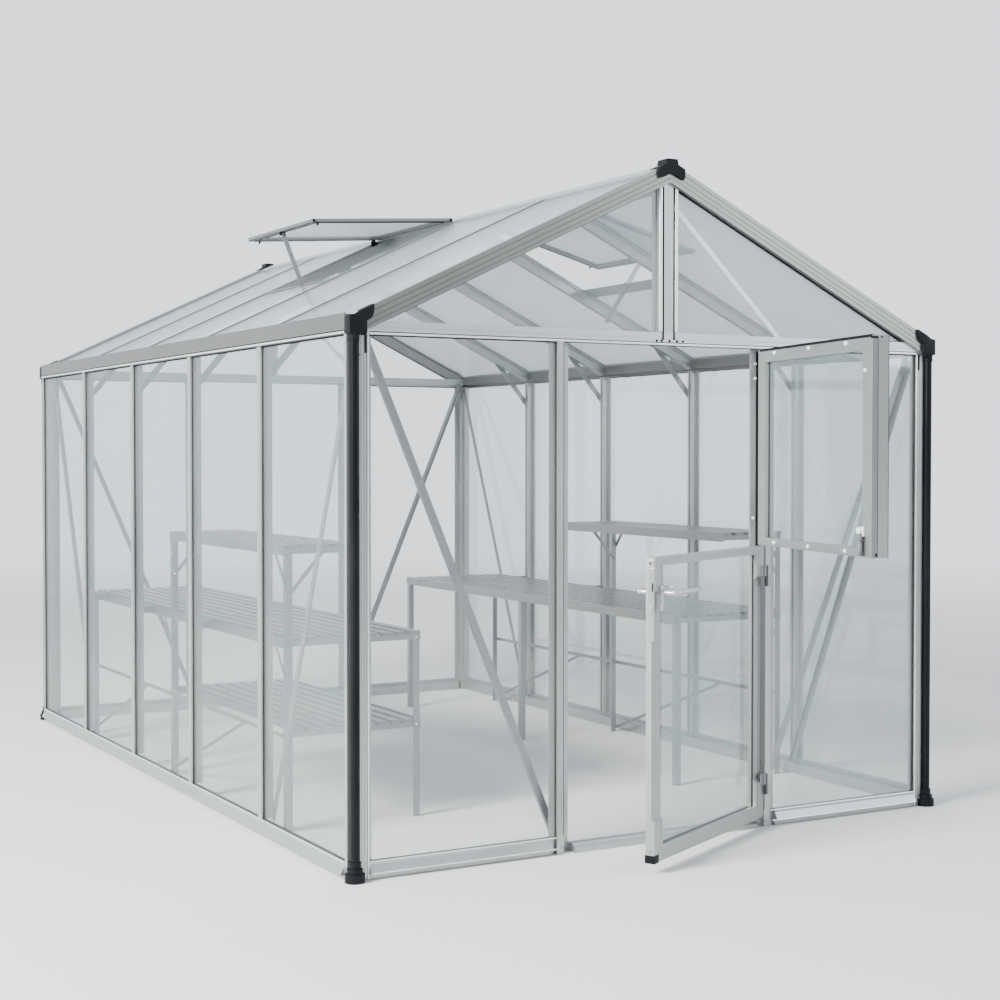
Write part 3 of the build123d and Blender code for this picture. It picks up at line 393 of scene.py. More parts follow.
def turned(bm, place, outline, sides=16):
    """A turned part: an outline of (radius, height), spun once round the Z axis of a place."""
    part = bmesh.new()
    spots = [(0, outline[0][1]), *outline, (0, outline[-1][1])]
    verts = [part.verts.new((radius, 0, height)) for radius, height in spots]
    profile = verts + [part.edges.new(pair) for pair in zip(verts, verts[1:])]
    bmesh.ops.spin(
        part, geom=profile, axis=(0, 0, 1), cent=(0, 0, 0), angle=math.tau, steps=sides, use_merge=True
    )
    bmesh.ops.remove_doubles(part, verts=part.verts[:], dist=1e-6)
    add_part(bm, part, place)


def finish_mesh(name, bm, material, body="house"):
    """Makes a finished mesh a piece that rides on the house or on a door leaf."""
    mesh = bpy.data.meshes.new(name)
    bmesh.ops.recalc_face_normals(bm, faces=bm.faces[:])
    bm.to_mesh(mesh)
    bm.free()
    piece = bpy.data.objects.new(name, mesh)
    bpy.context.scene.collection.objects.link(piece)
    mesh.materials.append(material)
    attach(piece, body)
    return piece


def rounded(angle, *meshes):
    """Smooth shading, broken at edges sharper than the angle in degrees."""
    for mesh in meshes:
        mesh.polygons.foreach_set("use_smooth", [True] * len(mesh.polygons))
        mesh.set_sharp_from_angle(angle=math.radians(angle))


def soften(width, segments, *names):
    """Small rounded edges that catch the light, as modifiers on nodes of the frame."""
    for name in names:
        rounded(32, nodes[name].data)
        bevel = nodes[name].modifiers.new("edges", "BEVEL")
        bevel.width = width
        bevel.segments = segments
        bevel.limit_method = "ANGLE"
        bevel.angle_limit = math.radians(50)
        bevel.harden_normals = True


moulded = black_plastic("plastic_moulded", rough=0.48, grain=900.0)
pipe_plastic = black_plastic("plastic_pipe", rough=0.38, grain=300.0)
dress(moulded, "downpipe_feet", "ridge_end_caps")
dress(pipe_plastic, "downpipes")
soften(0.0022, 3, "ridge_end_caps")
soften(0.0012, 2, "downpipe_feet")
rounded(40, nodes["downpipes"].data)

still = Matrix.Identity(4)
length = 3.770
half = 1.235
wall_top = 1.746
apex = 2.36457
roof_cos = math.cos(slope)
roof_sin = math.sin(slope)
down_left = Matrix(
    (
        (-roof_cos, 0, -roof_sin, 0),
        (0, 1, 0, 0),
        (-roof_sin, 0, roof_cos, apex),
        (0, 0, 0, 1),
    )
)
to_right = Matrix.Scale(-1, 4, (1, 0, 0))
to_back = Matrix.Translation((0, length, 0)) @ Matrix.Scale(-1, 4, (0, 1, 0))
corners = (still, to_right, to_back, to_back @ to_right)
face_on = Matrix(((1, 0, 0, 0), (0, 0, 1, 0), (0, 1, 0, 0), (0, 0, 0, 1)))
hood_side = -1.2392
hood_foot = 1.7462
hood_front = -0.0228
hood_thick = 0.0112
hood_outline = [
    (hood_side, hood_foot),
    (hood_side, 1.8030),
    (-1.2355, 1.8060),
    (-1.2200, 1.8078),
    (-1.2100, 1.8135),
    (-1.1990, 1.8208),
    (-1.1860, 1.8270),
    (-1.1700, 1.8342),
    (-1.1516, 1.8428),
    (-1.1512, 1.8300),
    (-1.1524, 1.8160),
    (-1.1562, 1.8040),
    (-1.1645, 1.7948),
    (-1.1765, 1.7880),
    (-1.1765, hood_foot),
]
hood_block = ((hood_side, -0.0140, hood_foot), (-1.1892, 0.0178, 1.8076))
hood_tongue = ((1.2640, -0.0130, 0.0203), (1.3140, 0.0160, 0.0230))
hood_lug = ((-1.1965, -0.0220, 1.7410), (-1.1800, -0.0130, 1.7470))
hood_tab = ((-1.1775, -0.0012, 1.6860), (-1.1690, 0.0016, hood_foot))
pipe_line = Matrix.Translation((-1.216, -0.005, 0))
collar = [(0.0176, 1.7202), (0.0178, 1.7212), (0.0178, 1.7400), (0.0190, 1.7440), (0.0190, 1.7470)]
bm = bmesh.new()
for corner_place in corners:
    hood_place = corner_place @ Matrix.Translation((0, hood_front, 0)) @ face_on
    plate(bm, hood_place, hood_outline, hood_thick, 0.0026)
    slab(bm, corner_place, *hood_block, 0.0030)
    slab(bm, corner_place @ down_left, *hood_tongue, 0.0010)
    turned(bm, corner_place @ pipe_line, collar, 40)
    strip(bm, corner_place, *hood_lug, 0.0010)
    strip(bm, corner_place, *hood_tab, 0.0006)
outlets = finish_mesh("outlet_hoods", bm, moulded)
rounded(35, outlets.data)
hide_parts("gutter_outlets")

# Wall gaskets: black rubber between the outer faces of the panes and the caps of the bars. One ring is
# pushed in round each pane. A ring here is a thin band, with depth but with no width beside the glass.


def gasket_ring(bm, place, low, high, depth, outside, inside):
    """A band round an opening in the XY plane of a place, between two depths, outside its edge."""
    part = bmesh.new()
    (u0, v0), (u1, v1) = low, high
    spots = [(u0 - outside, v0 - outside), (u1 + outside, v0 - outside)]
    spots += [(u1 + outside, v1 + outside), (u0 - outside, v1 + outside)]
    face = part.faces.new([part.verts.new((u, v, depth[0])) for u, v in spots])
    # The new face has no normal yet, so this inset takes no width and the band is a double wall.
    bmesh.ops.inset_region(part, faces=[face], thickness=outside + inside, use_boundary=True)
    bmesh.ops.delete(part, geom=[face], context="FACES_ONLY")
    draw_out(part, part.faces[:], depth[1] - depth[0])
    add_part(bm, part, place)


bays = 5
bay_width = 0.746
first_bar = 0.020
bar_lines = [first_bar + bay_width * k for k in range(bays + 1)]
bar_edge = 0.0165
end_edge = 0.030


def pane_span(k):
    """Where the k-th pane of a side wall starts and ends along the house."""
    start = bar_lines[k] + bar_edge if k else end_edge
    end = bar_lines[k + 1] - bar_edge if k < bays - 1 else length - end_edge
    return start, end


rubber = black_plastic("rubber_gasket", rough=0.62, grain=1200.0)
end_gasket = (0.006, 0.009)
side_gasket = (0.0012, 0.009)
lip = 0.003
sill_top = 0.060
post_inset = 0.073
post_edge = half - post_inset
front_edge = 0.457
back_edge = 0.460
back_middle = 0.427
side_face = Matrix(((0, 0, 1, -half), (1, 0, 0, 0), (0, 1, 0, 0), (0, 0, 0, 1)))
bm = bmesh.new()
for side_place in (still, to_right):
    for end_place, door_edge in ((still, front_edge), (to_back, back_edge)):
        pane_place = end_place @ side_place @ face_on
        gasket_ring(bm, pane_place, (door_edge, sill_top), (post_edge, wall_top), end_gasket, lip, lip)
    for k in range(bays):
        y0, y1 = pane_span(k)
        gasket_ring(bm, side_place @ side_face, (y0, sill_top), (y1, wall_top), side_gasket, lip, lip)
middle_low = (-back_middle, sill_top)
middle_high = (back_middle, wall_top)
gasket_ring(bm, to_back @ face_on, middle_low, middle_high, end_gasket, lip, lip)
finish_mesh("wall_gaskets", bm, rubber)

# Frame seals: thin black strips in the grooves of the tie beams, king posts, door posts and gutters,
# and in front of the gable sheets under the verges, where the strip is both a seal and painted shade,
# the dark shadow line beneath each verge. They stop short of the ends of the bars.
seal_top = 1.7462
tie_reach = 1.160
tie_seal = ((-tie_reach, -0.0005, 1.7540), (tie_reach, 0.0008, 1.7565))
king_seal = ((0.0196, -0.0007, 1.7650), (0.0272, 0.0019, 2.3000))
verge_shadow_seal = ((0.0560, 0.0100, -0.0482), (1.2260, 0.0132, -0.0438))
end_pane_seal = ((-post_edge, 0.0052, 1.7420), (-0.4600, 0.0088, seal_top))
door_post_seal = ((-0.4332, -0.0005, 0.0620), (-0.4308, 0.0008, 1.7460))
# The gutter's strip is painted shade: a black line for the shadow in the groove of the gutter's face.
gutter_shadow_seal = ((-half - 0.0043, 0.0190, 1.7562), (-half - 0.0022, length - 0.0190, 1.7600))
lintel_seal = ((-0.4270, 0.0040, 1.7436), (0.4270, 0.0080, seal_top))
bm = bmesh.new()
for end_place in (still, to_back):
    strip(bm, end_place, *tie_seal)
    for side_place in (still, to_right):
        both = end_place @ side_place
        strip(bm, both, *king_seal)
        strip(bm, both @ down_left, *verge_shadow_seal)
        strip(bm, both, *end_pane_seal)
for side_place in (still, to_right):
    strip(bm, side_place, *door_post_seal)
    strip(bm, side_place, *gutter_shadow_seal)
    for k in range(bays):
        y0, y1 = pane_span(k)
        strip(bm, side_place, (-half + 0.0052, y0, 1.7415), (-half + 0.0088, y1, seal_top))
strip(bm, still, *lintel_seal)
finish_mesh("frame_seals", bm, rubber)

# Edge beads: half-round beads of near-white metal rolled along the lips of the sills, king posts, tie
# beams, corner posts and gutters: painted highlights, where the real extrusions have rounded edges that
# catch the light.


def bead(bm, place, section, run):
    """A half-round bead along the Z axis of a place; its section says how wide and how proud it is."""
    wide, proud = section
    turn = [math.pi * k / 8 for k in range(9)]
    plate(bm, place, [(wide / 2 * math.cos(t), -proud * math.sin(t)) for t in turn], run)


tie_bead = (0.0064, 0.0022)
king_bead = (0.0130, 0.0034)
post_bead = (0.0056, 0.0022)
sill_bead = (0.0046, 0.0016)
gutter_bead = (0.0066, 0.0020)
drip_bead_at = (-0.014, 0.0215)
top_bead_at = (0, 0.0568)
sill_start = -1.1580
front_sill_run = 0.6980
back_sill_run = 1.1580
king_run = 0.5010
post_run = 1.7430
gutter_inset = 0.019
sill_inset = 0.034
run_across = Matrix(((0, 0, 1, 0), (0, 1, 0, 0), (1, 0, 0, 0), (0, 0, 0, 1)))
run_along = Matrix(((0, 1, 0, 0), (0, 0, 1, 0), (1, 0, 0, 0), (0, 0, 0, 1)))
tie_line = Matrix.Translation((-tie_reach, 0, 1.7503)) @ run_across
king_line = Matrix.Translation((0.0332, 0, 1.7950))
post_line = Matrix.Translation((-1.1652, 0, 0.0020))
gutter_lip = Matrix.Translation((-half - 0.004, gutter_inset, 1.7522)) @ run_along
sill_lip = Matrix.Translation((-half, sill_inset, top_bead_at[1])) @ run_along
bm = bmesh.new()
for end_place, sill_run in ((still, front_sill_run), (to_back, back_sill_run)):
    bead(bm, end_place @ tie_line, tie_bead, 2 * tie_reach)
    for side_place in (still, to_right):
        both = end_place @ side_place
        bead(bm, both @ king_line, king_bead, king_run)
        bead(bm, both @ post_line, post_bead, post_run)
        for y, z in (drip_bead_at, top_bead_at):
            bead(bm, both @ Matrix.Translation((sill_start, y, z)) @ run_across, sill_bead, sill_run)
for side_place in (still, to_right):
    bead(bm, side_place @ gutter_lip, gutter_bead, length - 2 * gutter_inset)
    bead(bm, side_place @ sill_lip, sill_bead, length - 2 * sill_inset)
beads = finish_mesh("edge_beads", bm, painted_light_metal)
rounded(40, beads.data)

# Roof gaskets: a thin black lip on both edges of each roof bar's cap keeps rain off the sheets' edges.
# Beside an open vent it starts below the curb.
vent_bays = {-1: 1, 1: 2}
hinge_s = 0.048797
hinge_n = 0.0145
vent_long = 0.640
cap_side = 0.0100
lip_side = 0.0118
lip_start = 0.060
lip_end = 1.3180
lip_under = 0.0102
lip_over = 0.0120
bm = bmesh.new()
for sign, side_place in ((1, still), (-1, to_right)):
    for k in range(1, bays):
        for way in (-1, 1):
            bay = k if way > 0 else k - 1
            start = hinge_s + vent_long if bay == vent_bays[sign] else lip_start
            low, high = sorted((way * cap_side, way * lip_side))
            lip_low = (start, bar_lines[k] + low, lip_under)
            lip_high = (lip_end, bar_lines[k] + high, lip_over)
            strip(bm, side_place @ down_left, lip_low, lip_high)
finish_mesh("roof_gaskets", bm, rubber)

# Door leaf seals: each leaf is a mitred aluminium frame whose glass sits on a black wedge, with a thin
# black line round its bead. The frames have small rounded edges.
hinge_x = 0.433
hinge_y = -0.008
lower_open = 27.4
upper_open = 76.3


def swung(angle):
    """The turn of a door leaf about its hinge line, from closed to its place in the frame."""
    line = Vector((hinge_x, hinge_y, 0))
    turn = Matrix.Rotation(math.radians(angle), 4, "Z")
    return Matrix.Translation(line) @ turn @ Matrix.Translation(-line)


leaf_metal = extruded_metal("metal_leaf", (0.41, 0.43, 0.425))
dress(leaf_metal, "lower_leaf_frame", "upper_leaf_frame")
soften(0.0010, 2, "lower_leaf_frame", "upper_leaf_frame")
lower_place = swung(lower_open)
upper_place = swung(upper_open)
leaves = {"lower": (lower_place, 0.088, 1.002), "upper": (upper_place, 1.064, 1.694)}
pane_half = 0.364
leaf_bead = 0.013
outer_wedge = (0.0115, 0.0158)
inner_wedge = (0.0202, 0.0235)
bead_line = (-0.0005, 0.0008)
for name, (leaf_place, z0, z1) in leaves.items():
    bm = bmesh.new()
    flat = leaf_place @ face_on
    gasket_ring(bm, flat, (-pane_half, z0), (pane_half, z1), outer_wedge, 0.0008, 0.0035)
    gasket_ring(bm, flat, (-pane_half, z0), (pane_half, z1), inner_wedge, 0.0004, 0.0030)
    line_low = (-pane_half - leaf_bead, z0 - leaf_bead)
    line_high = (pane_half + leaf_bead, z1 + leaf_bead)
    gasket_ring(bm, flat, line_low, line_high, bead_line, 0.0016, 0.0002)
    finish_mesh(name + "_leaf_seals", bm, rubber, "door_" + name + "_leaf")

# Doorway seals: a black bulb strip is pushed into the groove of each post's stop. A flat lip runs along
# the top of the upper leaf, and thin black lines edge the strip on its free side; the inner line is
# painted shade, the shadow in a groove of that edge.
bulb = [(-0.0055, 0), (-0.0055, -0.0012), (-0.0030, -0.0016), (-0.0026, -0.0030), (-0.0012, -0.0040)]
bulb += [(-x, y) for x, y in reversed(bulb)]
stop_side = 0.4225
stop_face = 0.038
stop_foot = 0.064
stop_run = 1.672
bm = bmesh.new()
for x in (-stop_side, stop_side):
    plate(bm, Matrix.Translation((x, stop_face, stop_foot)), bulb, stop_run)
finish_mesh("doorway_seals", bm, rubber)
leaf_side = -0.4246
strip_foot = 1.0365
top_lip = ((-0.4235, 0.0240, 1.7338), (0.4120, 0.0338, 1.7426))
inner_corner = ((leaf_side, 0.0100, 1.7290), (-0.4150, 0.0324, 1.7360))
outer_corner = ((leaf_side, -0.0060, 1.7310), (-0.4150, 0.0020, 1.7360))
outer_line = ((leaf_side, -0.0282, strip_foot), (-0.4220, -0.0262, 1.7395))
groove_shadow_line = ((leaf_side, 0.0095, strip_foot), (-0.4230, 0.0110, 1.7290))
bm = bmesh.new()
for low, high in (top_lip, inner_corner, outer_corner):
    slab(bm, upper_place, low, high, 0.0006)
for low, high in (outer_line, groove_shadow_line):
    strip(bm, upper_place, low, high)
finish_mesh("upper_leaf_lip", bm, rubber, "door_upper_leaf")

# Hinges: two cast hinges on each leaf, with dark knuckles and a mill-finish plate on the post and on
# the leaf, held by two screws each. Screws and bolts have turned steel heads.


def aimed(at, way):
    """A place whose Z axis points along way."""
    return Matrix.Translation(at) @ Vector(way).to_track_quat("Z", "Y").to_matrix().to_4x4()


def screw(bm, place, at, way, radius=0.0036, rise=0.55):
    """A low round head with a recessed socket."""
    top = radius * rise
    outline = [(radius, -0.0004), (radius, 0.0004), (radius * 0.90, top * 0.62), (radius * 0.68, top)]
    outline += [(radius * 0.42, top + 0.0003), (radius * 0.34, top - 0.0012)]
    turned(bm, place @ aimed(at, way), outline, 14)


def nut(bm, place, at, way, scale=1.0):
    """A washer, a six-sided nut and the end of its stud."""
    spot = place @ aimed(at, way) @ Matrix.Scale(scale, 4)
    turned(bm, spot, [(0.0070, -0.0003), (0.0070, 0.0010), (0.0066, 0.0014)], 20)
    turned(bm, spot, [(0.0057, 0.0012), (0.0057, 0.0050), (0.0049, 0.0058)], 6)
    turned(bm, spot, [(0.0029, 0.0054), (0.0029, 0.0088), (0.0023, 0.0094)], 12)


cast_grain = (20, 20, 20)
knuckle_edge = 0.0074
plate_edge = 0.0090
hinge_metal = extruded_metal("metal_hinge", (0.38, 0.40, 0.395), grain=cast_grain, rough=0.40)
tree, add = node_maker(hinge_metal)
spot = add("ShaderNodeTexCoord")
level = add("ShaderNodeVectorMath", operation="MULTIPLY", in_1=(1, 1, 0))
off_pin = add("ShaderNodeVectorMath", operation="DISTANCE", in_1=(hinge_x, hinge_y, 0))
plated = add("ShaderNodeMapRange", in_1=knuckle_edge, in_2=plate_edge)
coat = add("ShaderNodeMix", data_type="RGBA")
coat.inputs["A"].default_value = (0.10, 0.105, 0.11, 1)
hinge_shader = tree.nodes["Principled BSDF"]
tinted = hinge_shader.inputs["Base Color"].links[0].from_socket
tree.links.new(spot.outputs["Object"], level.inputs[0])
tree.links.new(level.outputs["Vector"], off_pin.inputs[0])
tree.links.new(off_pin.outputs["Value"], plated.inputs[0])
tree.links.new(plated.outputs[0], coat.inputs["Factor"])
tree.links.new(tinted, coat.inputs["B"])
tree.links.new(coat.outputs["Result"], hinge_shader.inputs["Base Color"])
dress(hinge_metal, "lower_leaf_hinges", "upper_leaf_hinges", "post_hinges")
soften(0.0006, 1, "post_hinges", "lower_leaf_hinges", "upper_leaf_hinges")
steel = extruded_metal("steel_fixings", (0.42, 0.43, 0.44), grain=cast_grain, rough=0.28, metal=0.95)
outwards = (0, -1, 0)
inwards = (0, 1, 0)
edgewise = (-1, 0, 0)
leaf_edge = -0.424
leaf_thick = 0.032
hinge_heights = {"lower": (0.158, 0.920), "upper": (1.156, 1.630)}
post_flap = 0.4445
leaf_flap = 0.4080
flap_face = -0.003
corner_screw = 1.190
corner_heights = (0.030, 1.680)
tread_screw = (0.439, 0.021)
flap_steps = (0.010, 0.028)
leaf_screws = {"lower": bmesh.new(), "upper": bmesh.new()}
bm = bmesh.new()
for name, heights in hinge_heights.items():
    for hinge_z in heights:
        for step in flap_steps:
            leaf_spot = (leaf_flap, flap_face, hinge_z + step)
            screw(bm, still, (post_flap, flap_face, hinge_z - step), outwards)
            screw(leaf_screws[name], leaves[name][0], leaf_spot, outwards)
for sign in (-1, 1):
    screw(bm, still, (sign * tread_screw[0], 0, tread_screw[1]), outwards, 0.0048)
    for y, way in ((0, -1), (length, 1)):
        for z in corner_heights:
            screw(bm, still, (sign * corner_screw, y, z), (0, way, 0), 0.0044)
finish_mesh("frame_screws", bm, steel)
screw(leaf_screws["lower"], lower_place, (leaf_edge, 0.016, 0.075), edgewise, 0.0044)
for name, mesh in leaf_screws.items():
    finish_mesh(name + "_leaf_screws", mesh, steel, "door_" + name + "_leaf")

# Rivets: domed heads along the rails of the upper leaf and on the stop of the right door post, near
# white as a painted highlight, and a row of black bolts that holds each king post to its tie beam.
rivet_highlight_metal = extruded_metal("metal_rivet_painted_highlight", (0.90, 0.91, 0.92), grain=(9, 9, 9), rough=0.24, metal=0.35)
domed = 0.70
rivet_places = (0.288, 0.020, -0.248)
rail_heights = (1.724, 1.050)
stop_rivets = ((0.412, 1.694), (0.412, 1.640), (0.406, 1.130))
bm = bmesh.new()
for x in rivet_places:
    for z in rail_heights:
        screw(bm, upper_place, (x, leaf_thick, z), inwards, 0.0076, domed)
screw(bm, upper_place, (-0.380, leaf_thick, 1.630), inwards, 0.0066, domed)
finish_mesh("upper_leaf_rivets", bm, rivet_highlight_metal, "door_upper_leaf")
bm = bmesh.new()
for x, z in stop_rivets:
    screw(bm, still, (x, stop_face, z), outwards, 0.0072, domed)
finish_mesh("post_rivets", bm, rivet_highlight_metal)
tie_middle = 1.7615
bolt_row = (-0.050, -0.029, 0.004, 0.036, 0.062)
bm = bmesh.new()
for end_place in (still, to_back):
    for x in bolt_row:
        screw(bm, end_place, (x, 0, tie_middle), outwards, 0.0046, 0.60)
finish_mesh("king_post_bolts", bm, moulded)

# Brace bolts: each flat brace is held at its ends by a steel nut on a washer, on the inner face of the
# frame.
bar_deep = 0.046
bar_half = 0.015
brace_thick = 0.004
inner = bar_deep + brace_thick
end_brace_bolts = ((half - 0.080, 1.736), (0.442, 0.066))
side_brace_bolts = ((0.068, 1.706), (0.752, 0.070))
knee_bolts = ((1.204, 1.626), (0.999, 1.882))
bm = bmesh.new()
for sign in (-1, 1):
    for y, way in ((inner, 1), (length - inner, -1)):
        for x, z in end_brace_bolts:
            nut(bm, still, (sign * x, y, z), (0, way, 0))
    for y, step in ((0, 1), (length, -1)):
        for away, z in side_brace_bolts:
            nut(bm, still, (sign * (half - inner), y + step * away, z), (-sign, 0, 0))
    for k in range(1, bays):
        side = bar_lines[k] + bar_half + brace_thick
        for x, z in knee_bolts:
            nut(bm, still, (sign * x, side, z), inwards, 0.85)
finish_mesh("brace_bolts", bm, steel)

# Lower leaf furniture: a polished lever on each face of the stile, a lock plate let into its edge with
# its latch and bolt, and a black plug on the leaf's foot.


def swept(bm, place, path, tall, thick, sides=16):
    """A closed oval bar along a path of (x, y, scale), with its height along Z."""
    part = bmesh.new()
    loops = []
    for k, (x, y, scale) in enumerate(path):
        before = path[max(k - 1, 0)]
        after = path[min(k + 1, len(path) - 1)]
        run = Vector((after[0] - before[0], after[1] - before[1], 0)).normalized()
        across = run.cross(Vector((0, 0, 1))) * thick * scale
        oval = Matrix((across, Vector((0, 0, tall * scale)), run))
        spot = Matrix.Translation((x, y, 0)) @ oval.transposed().to_4x4()
        verts = bmesh.ops.create_circle(part, segments=sides, radius=0.5, matrix=spot)["verts"]
        loops.append(list({edge for vert in verts for edge in vert.link_edges}))
    for a, b in zip(loops, loops[1:]):
        bmesh.ops.bridge_loops(part, edges=a + b)
    bmesh.ops.holes_fill(part, edges=loops[0] + loops[-1], sides=sides)
    add_part(bm, part, place)


lever_metal = extruded_metal("metal_lever", (0.62, 0.63, 0.64), grain=(14, 14, 14), rough=0.30, metal=0.7)
plate_thick = 0.004
plate_side = 0.011
plate_foot = -0.062
plate_head = 0.022
lever_reach = 0.0465
rose = [(0.0105, 0.0035), (0.0105, 0.0075), (0.0085, 0.0095)]
shank = [(0.0068, 0.006), (0.0068, 0.046)]
key_ring = [(0.0085, 0.0035), (0.0085, 0.0060), (0.0076, 0.0068)]
at_handle = lower_place @ Matrix.Translation((-0.378, 0, 0.915))
bm = bmesh.new()
for face, way in ((0.0, -1), (leaf_thick, 1)):
    low_y, high_y = sorted((face, face + way * plate_thick))
    spindle = at_handle @ aimed((0, face, 0), (0, way, 0))
    slab(bm, at_handle, (-plate_side, low_y, plate_foot), (plate_side, high_y, plate_head), 0.0018)
    turned(bm, spindle, rose, 24)
    turned(bm, spindle, shank, 20)
    reach = face + way * lever_reach
    path = [(-0.0105, reach, 0.55), (-0.009, reach, 0.82), (-0.005, reach, 0.97), (0.010, reach, 1.0)]
    path += [(0.070, reach, 0.92), (0.140, reach, 0.90), (0.182, reach - way * 0.001, 0.92)]
    path += [(0.193, reach - way * 0.004, 0.88), (0.198, reach - way * 0.010, 0.84)]
    path += [(0.199, reach - way * 0.018, 0.80)]
    swept(bm, at_handle, path, tall=0.018, thick=0.0115)
    for z in (-0.052, 0.013):
        screw(bm, at_handle, (0, face + way * plate_thick, z), (0, way, 0), 0.0030)
    keyhole = at_handle @ aimed((0, face, -0.034), (0, way, 0))
    turned(bm, keyhole, key_ring, 24)
lever = finish_mesh("lever_handles", bm, lever_metal, "door_lower_leaf")
rounded(40, lever.data)
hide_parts("lower_leaf_handle")
lock_face = leaf_edge - 0.0014
lock_back = leaf_edge + 0.001
bolt_face = leaf_edge - 0.0020
lock_strip = ((lock_face, 0.0015, 0.760), (lock_back, 0.0225, 0.996))
latch_tongue = ((leaf_edge - 0.0040, 0.0060, 0.846), (leaf_edge, 0.0180, 0.872))
top_plate = ((leaf_edge - 0.0016, 0.0010, 1.000), (lock_back, 0.0220, 1.022))
bm = bmesh.new()
slab(bm, lower_place, *lock_strip, 0.0006)
slab(bm, lower_place, *latch_tongue, 0.0012)
slab(bm, lower_place, *top_plate, 0.0006)
for z in (0.772, 0.984):
    screw(bm, lower_place, (lock_face, 0.012, z), edgewise, 0.0034)
finish_mesh("lock_plate", bm, steel, "door_lower_leaf")
bolt_guard = ((bolt_face, 0.0040, 0.919), (lock_back, 0.0100, 0.948))
foot_cap = ((bolt_face, -0.0022, 0.0352), (leaf_edge + 0.030, 0.0342, 0.062))
bm = bmesh.new()
slab(bm, lower_place, *bolt_guard, 0.0010)
turned(bm, lower_place @ aimed((leaf_edge, 0.0150, 1.011), edgewise), [(0.0036, 0), (0.0036, 0.0022)], 16)
slab(bm, lower_place, *foot_cap, 0.0014)
finish_mesh("lower_leaf_plugs", bm, moulded, "door_lower_leaf")

# Upper leaf latch: a thumb knob on a dark slide bolt in two guides, screwed to the inner face, and a small
# pull block outside; knob, block, screw and pull block are near white, a painted highlight. A darker
# band, painted shade on the leaf's free edge, and a foot plug finish that edge.
thumb_block = ((-0.384, 0.0330, 1.103), (-0.361, 0.0400, 1.134))
pull_block = ((-0.410, -0.0140, 1.055), (-0.390, 0.0, 1.107))
knob_outline = [(0.0050, -0.006), (0.0050, 0.003), (0.0105, 0.005), (0.0120, 0.009), (0.0090, 0.0130)]
bm = bmesh.new()
slab(bm, upper_place, *thumb_block, 0.0020)
turned(bm, upper_place @ aimed((-0.370, 0.0400, 1.122), inwards), knob_outline, 24)
screw(bm, upper_place, (-0.368, 0.0336, 1.058), inwards, 0.0052, domed)
slab(bm, upper_place, *pull_block, 0.0035)
latch = finish_mesh("upper_leaf_latch", bm, rivet_highlight_metal, "door_upper_leaf")
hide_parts("upper_leaf_catch")
dark_metal = extruded_metal("metal_dark", (0.13, 0.135, 0.14), grain=cast_grain, rough=0.40)
bolt_plate = ((-0.384, leaf_thick, 1.040), (-0.361, 0.0336, 1.108))
rod_outline = [(0.0034, 0.0), (0.0050, 0.0015), (0.0050, 0.068), (0.0040, 0.070)]
bm = bmesh.new()
slab(bm, upper_place, *bolt_plate, 0.0006)
for z in (1.044, 1.086):
    slab(bm, upper_place, (-0.3815, 0.0330, z), (-0.3665, 0.0448, z + 0.008), 0.0012)
turned(bm, upper_place @ aimed((-0.374, 0.0392, 1.042), (0, 0, 1)), rod_outline, 16)
finish_mesh("upper_leaf_bolt", bm, dark_metal, "door_upper_leaf")
# The band is painted shade: a darker strip along the face of the free edge, where it lies in shade.
shaded_band_metal = extruded_metal("metal_band_painted_shade", (0.27, 0.29, 0.30), rough=0.42)
band = ((-0.4244, 0.0112, 1.0370), (-0.4232, 0.0312, 1.7285))
bm = bmesh.new()
strip(bm, upper_place, *band)
finish_mesh("upper_leaf_band", bm, shaded_band_metal, "door_upper_leaf")
plug_outline = [(0.0048, -0.001), (0.0048, 0.0010), (0.0030, 0.0016)]
bm = bmesh.new()
turned(bm, upper_place @ aimed((leaf_edge, 0.0148, 1.046), edgewise), plug_outline, 16)
finish_mesh("upper_leaf_plug", bm, moulded, "door_upper_leaf")

# Roof vents: each leaf has black end plugs, rubber buffers and a seal, and hangs from the ridge wing on
# two plates. A flat stay holds it open, pinned between cheeks at both ends.


def from_hinge(s, y, n):
    """A spot of a vent, s down the slope and n out of it from the vent's hinge line."""
    return (hinge_s + s, y, hinge_n + n)


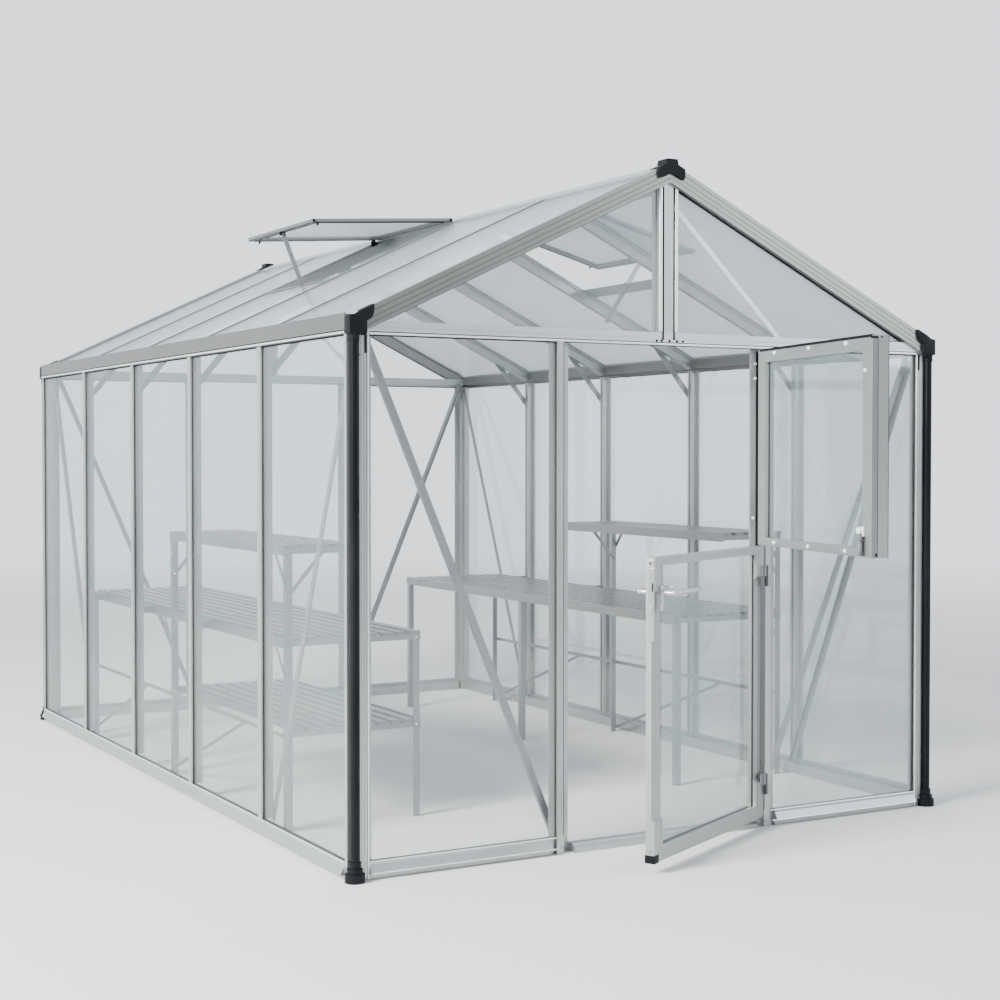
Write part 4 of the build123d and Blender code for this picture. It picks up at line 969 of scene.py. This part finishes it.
left_open = 21.4
right_open = 10.3
vent_gap = 0.012
plug_long = 0.010
plug_wide = 0.003
low_edge = 0.6496
seal_thick = 0.0012
seal_foot = 0.0002
vent_face = 0.0155
plate_top = 0.0185
plate_half = 0.014
plate_inset = 0.040
cheek_half = 0.011
cheek_wide = 0.004
stay_foot_s = 0.6538
pin_outline = [(0.0046, 0.0), (0.0046, 0.0022), (0.0028, 0.0022)]
pin_outline += [(radius, 0.0217 - height) for radius, height in reversed(pin_outline)]
buffer_outline = [(0.0050, -0.001), (0.0042, 0.011)]
pivot = down_left @ Vector((hinge_s, 0, hinge_n))
black = bmesh.new()
bright = bmesh.new()
for sign, side_place, opening in ((1, still, left_open), (-1, to_right, right_open)):
    turn = Matrix.Rotation(math.radians(opening), 4, "Y")
    slope_place = side_place @ down_left
    leaf = side_place @ Matrix.Translation(pivot) @ turn @ Matrix.Translation(-pivot) @ down_left
    bay = vent_bays[sign]
    y0 = bar_lines[bay] + vent_gap
    y1 = bar_lines[bay + 1] - vent_gap
    for y in (y0 - 0.0025, y1 - 0.0005):
        for s in (0.001, 0.639):
            plug_low = from_hinge(s, y, 0.001)
            plug_high = from_hinge(s + plug_long, y + plug_wide, 0.015)
            slab(black, leaf, plug_low, plug_high, 0.0008)
    for y in (y0 - 0.0008, y1 - 0.0004):
        strip(black, leaf, from_hinge(0.012, y, seal_foot), from_hinge(0.638, y + seal_thick, 0.0032))
    edge_low = from_hinge(low_edge, y0 + 0.004, seal_foot)
    edge_high = from_hinge(low_edge + seal_thick, y1 - 0.004, 0.0030)
    strip(black, leaf, edge_low, edge_high)
    ring_low = (hinge_s + 0.036, y0 + 0.016)
    ring_high = (hinge_s + 0.628, y1 - 0.016)
    ring_depth = (hinge_n - 0.0022, hinge_n + 0.0004)
    gasket_ring(black, leaf, ring_low, ring_high, ring_depth, 0.004, 0.004)
    for s, y in ((0.625, y0 + 0.008), (0.600, y1 - 0.008), (0.040, y1 - 0.008)):
        turned(black, leaf @ aimed(from_hinge(s, y, 0), (0, 0, -1)), buffer_outline, 14)
    catch_low = (hinge_s + 0.020, y1 + 0.0005, -0.002)
    catch_high = (hinge_s + 0.046, y1 + 0.0050, 0.0240)
    slab(black, slope_place, catch_low, catch_high, 0.0020)
    tail_low = (hinge_s + 0.022, y1 - 0.016, 0.0)
    tail_high = (hinge_s + 0.034, y1 + 0.0045, 0.0130)
    slab(black, slope_place, tail_low, tail_high, 0.0020)
    mid = (y0 + y1) / 2
    stay_top = leaf @ Vector(from_hinge(0.635, mid, 0))
    stay_foot = slope_place @ Vector((stay_foot_s, mid, 0.0))
    for spot, way, mesh in ((stay_top, -1, black), (stay_foot, 1, bright)):
        spin = Matrix.Translation(spot)
        low_z, high_z = (-0.012, 0.0) if way < 0 else (0.0, 0.014)
        for step in (-0.0078, 0.0038):
            cheek_low = (-cheek_half, step, low_z)
            cheek_high = (cheek_half, step + cheek_wide, high_z)
            slab(mesh, spin, cheek_low, cheek_high, 0.0006)
        pin = spin @ aimed((0, -0.0105, way * 0.007), inwards)
        turned(bright, pin, pin_outline, 14)
    for y in (y0 + plate_inset, y1 - plate_inset):
        plate_low = from_hinge(-0.003, y - plate_half, vent_face)
        plate_high = from_hinge(0.026, y + plate_half, plate_top)
        slab(bright, leaf, plate_low, plate_high)
        for step in (-0.006, 0.006):
            screw(bright, leaf, from_hinge(0.015, y + step, plate_top), (0, 0, 1), 0.0028)
finish_mesh("vent_seals", black, rubber)
finish_mesh("vent_fittings", bright, steel)

# Staging bolts: one steel bolt goes through each leg and bearer, with its nut on the face that looks
# along the path.
leg_half = 0.013
outer_leg = -1.129 + leg_half
inner_leg = -0.589 - leg_half
bench_top = 0.700
low_shelf = 0.370
high_shelf = 1.035
shelf_strut = 0.875
bearer_drop = 0.022
leg_lines = ((0.775, True), (2.035, True), (3.219, False))
bm = bmesh.new()
for sign, low_shelves in ((1, (low_shelf,)), (-1, ())):
    for y, tall in leg_lines:
        spots = [(outer_leg, bench_top), (inner_leg, bench_top)]
        if tall:
            spots += [(outer_leg, high_shelf), (outer_leg, shelf_strut)]
            spots += [(x, level) for level in low_shelves for x in (outer_leg, inner_leg)]
        for x, level in spots:
            nut(bm, still, (sign * x, y, level - bearer_drop), outwards, 0.8)
finish_mesh("bench_bolts", bm, steel)
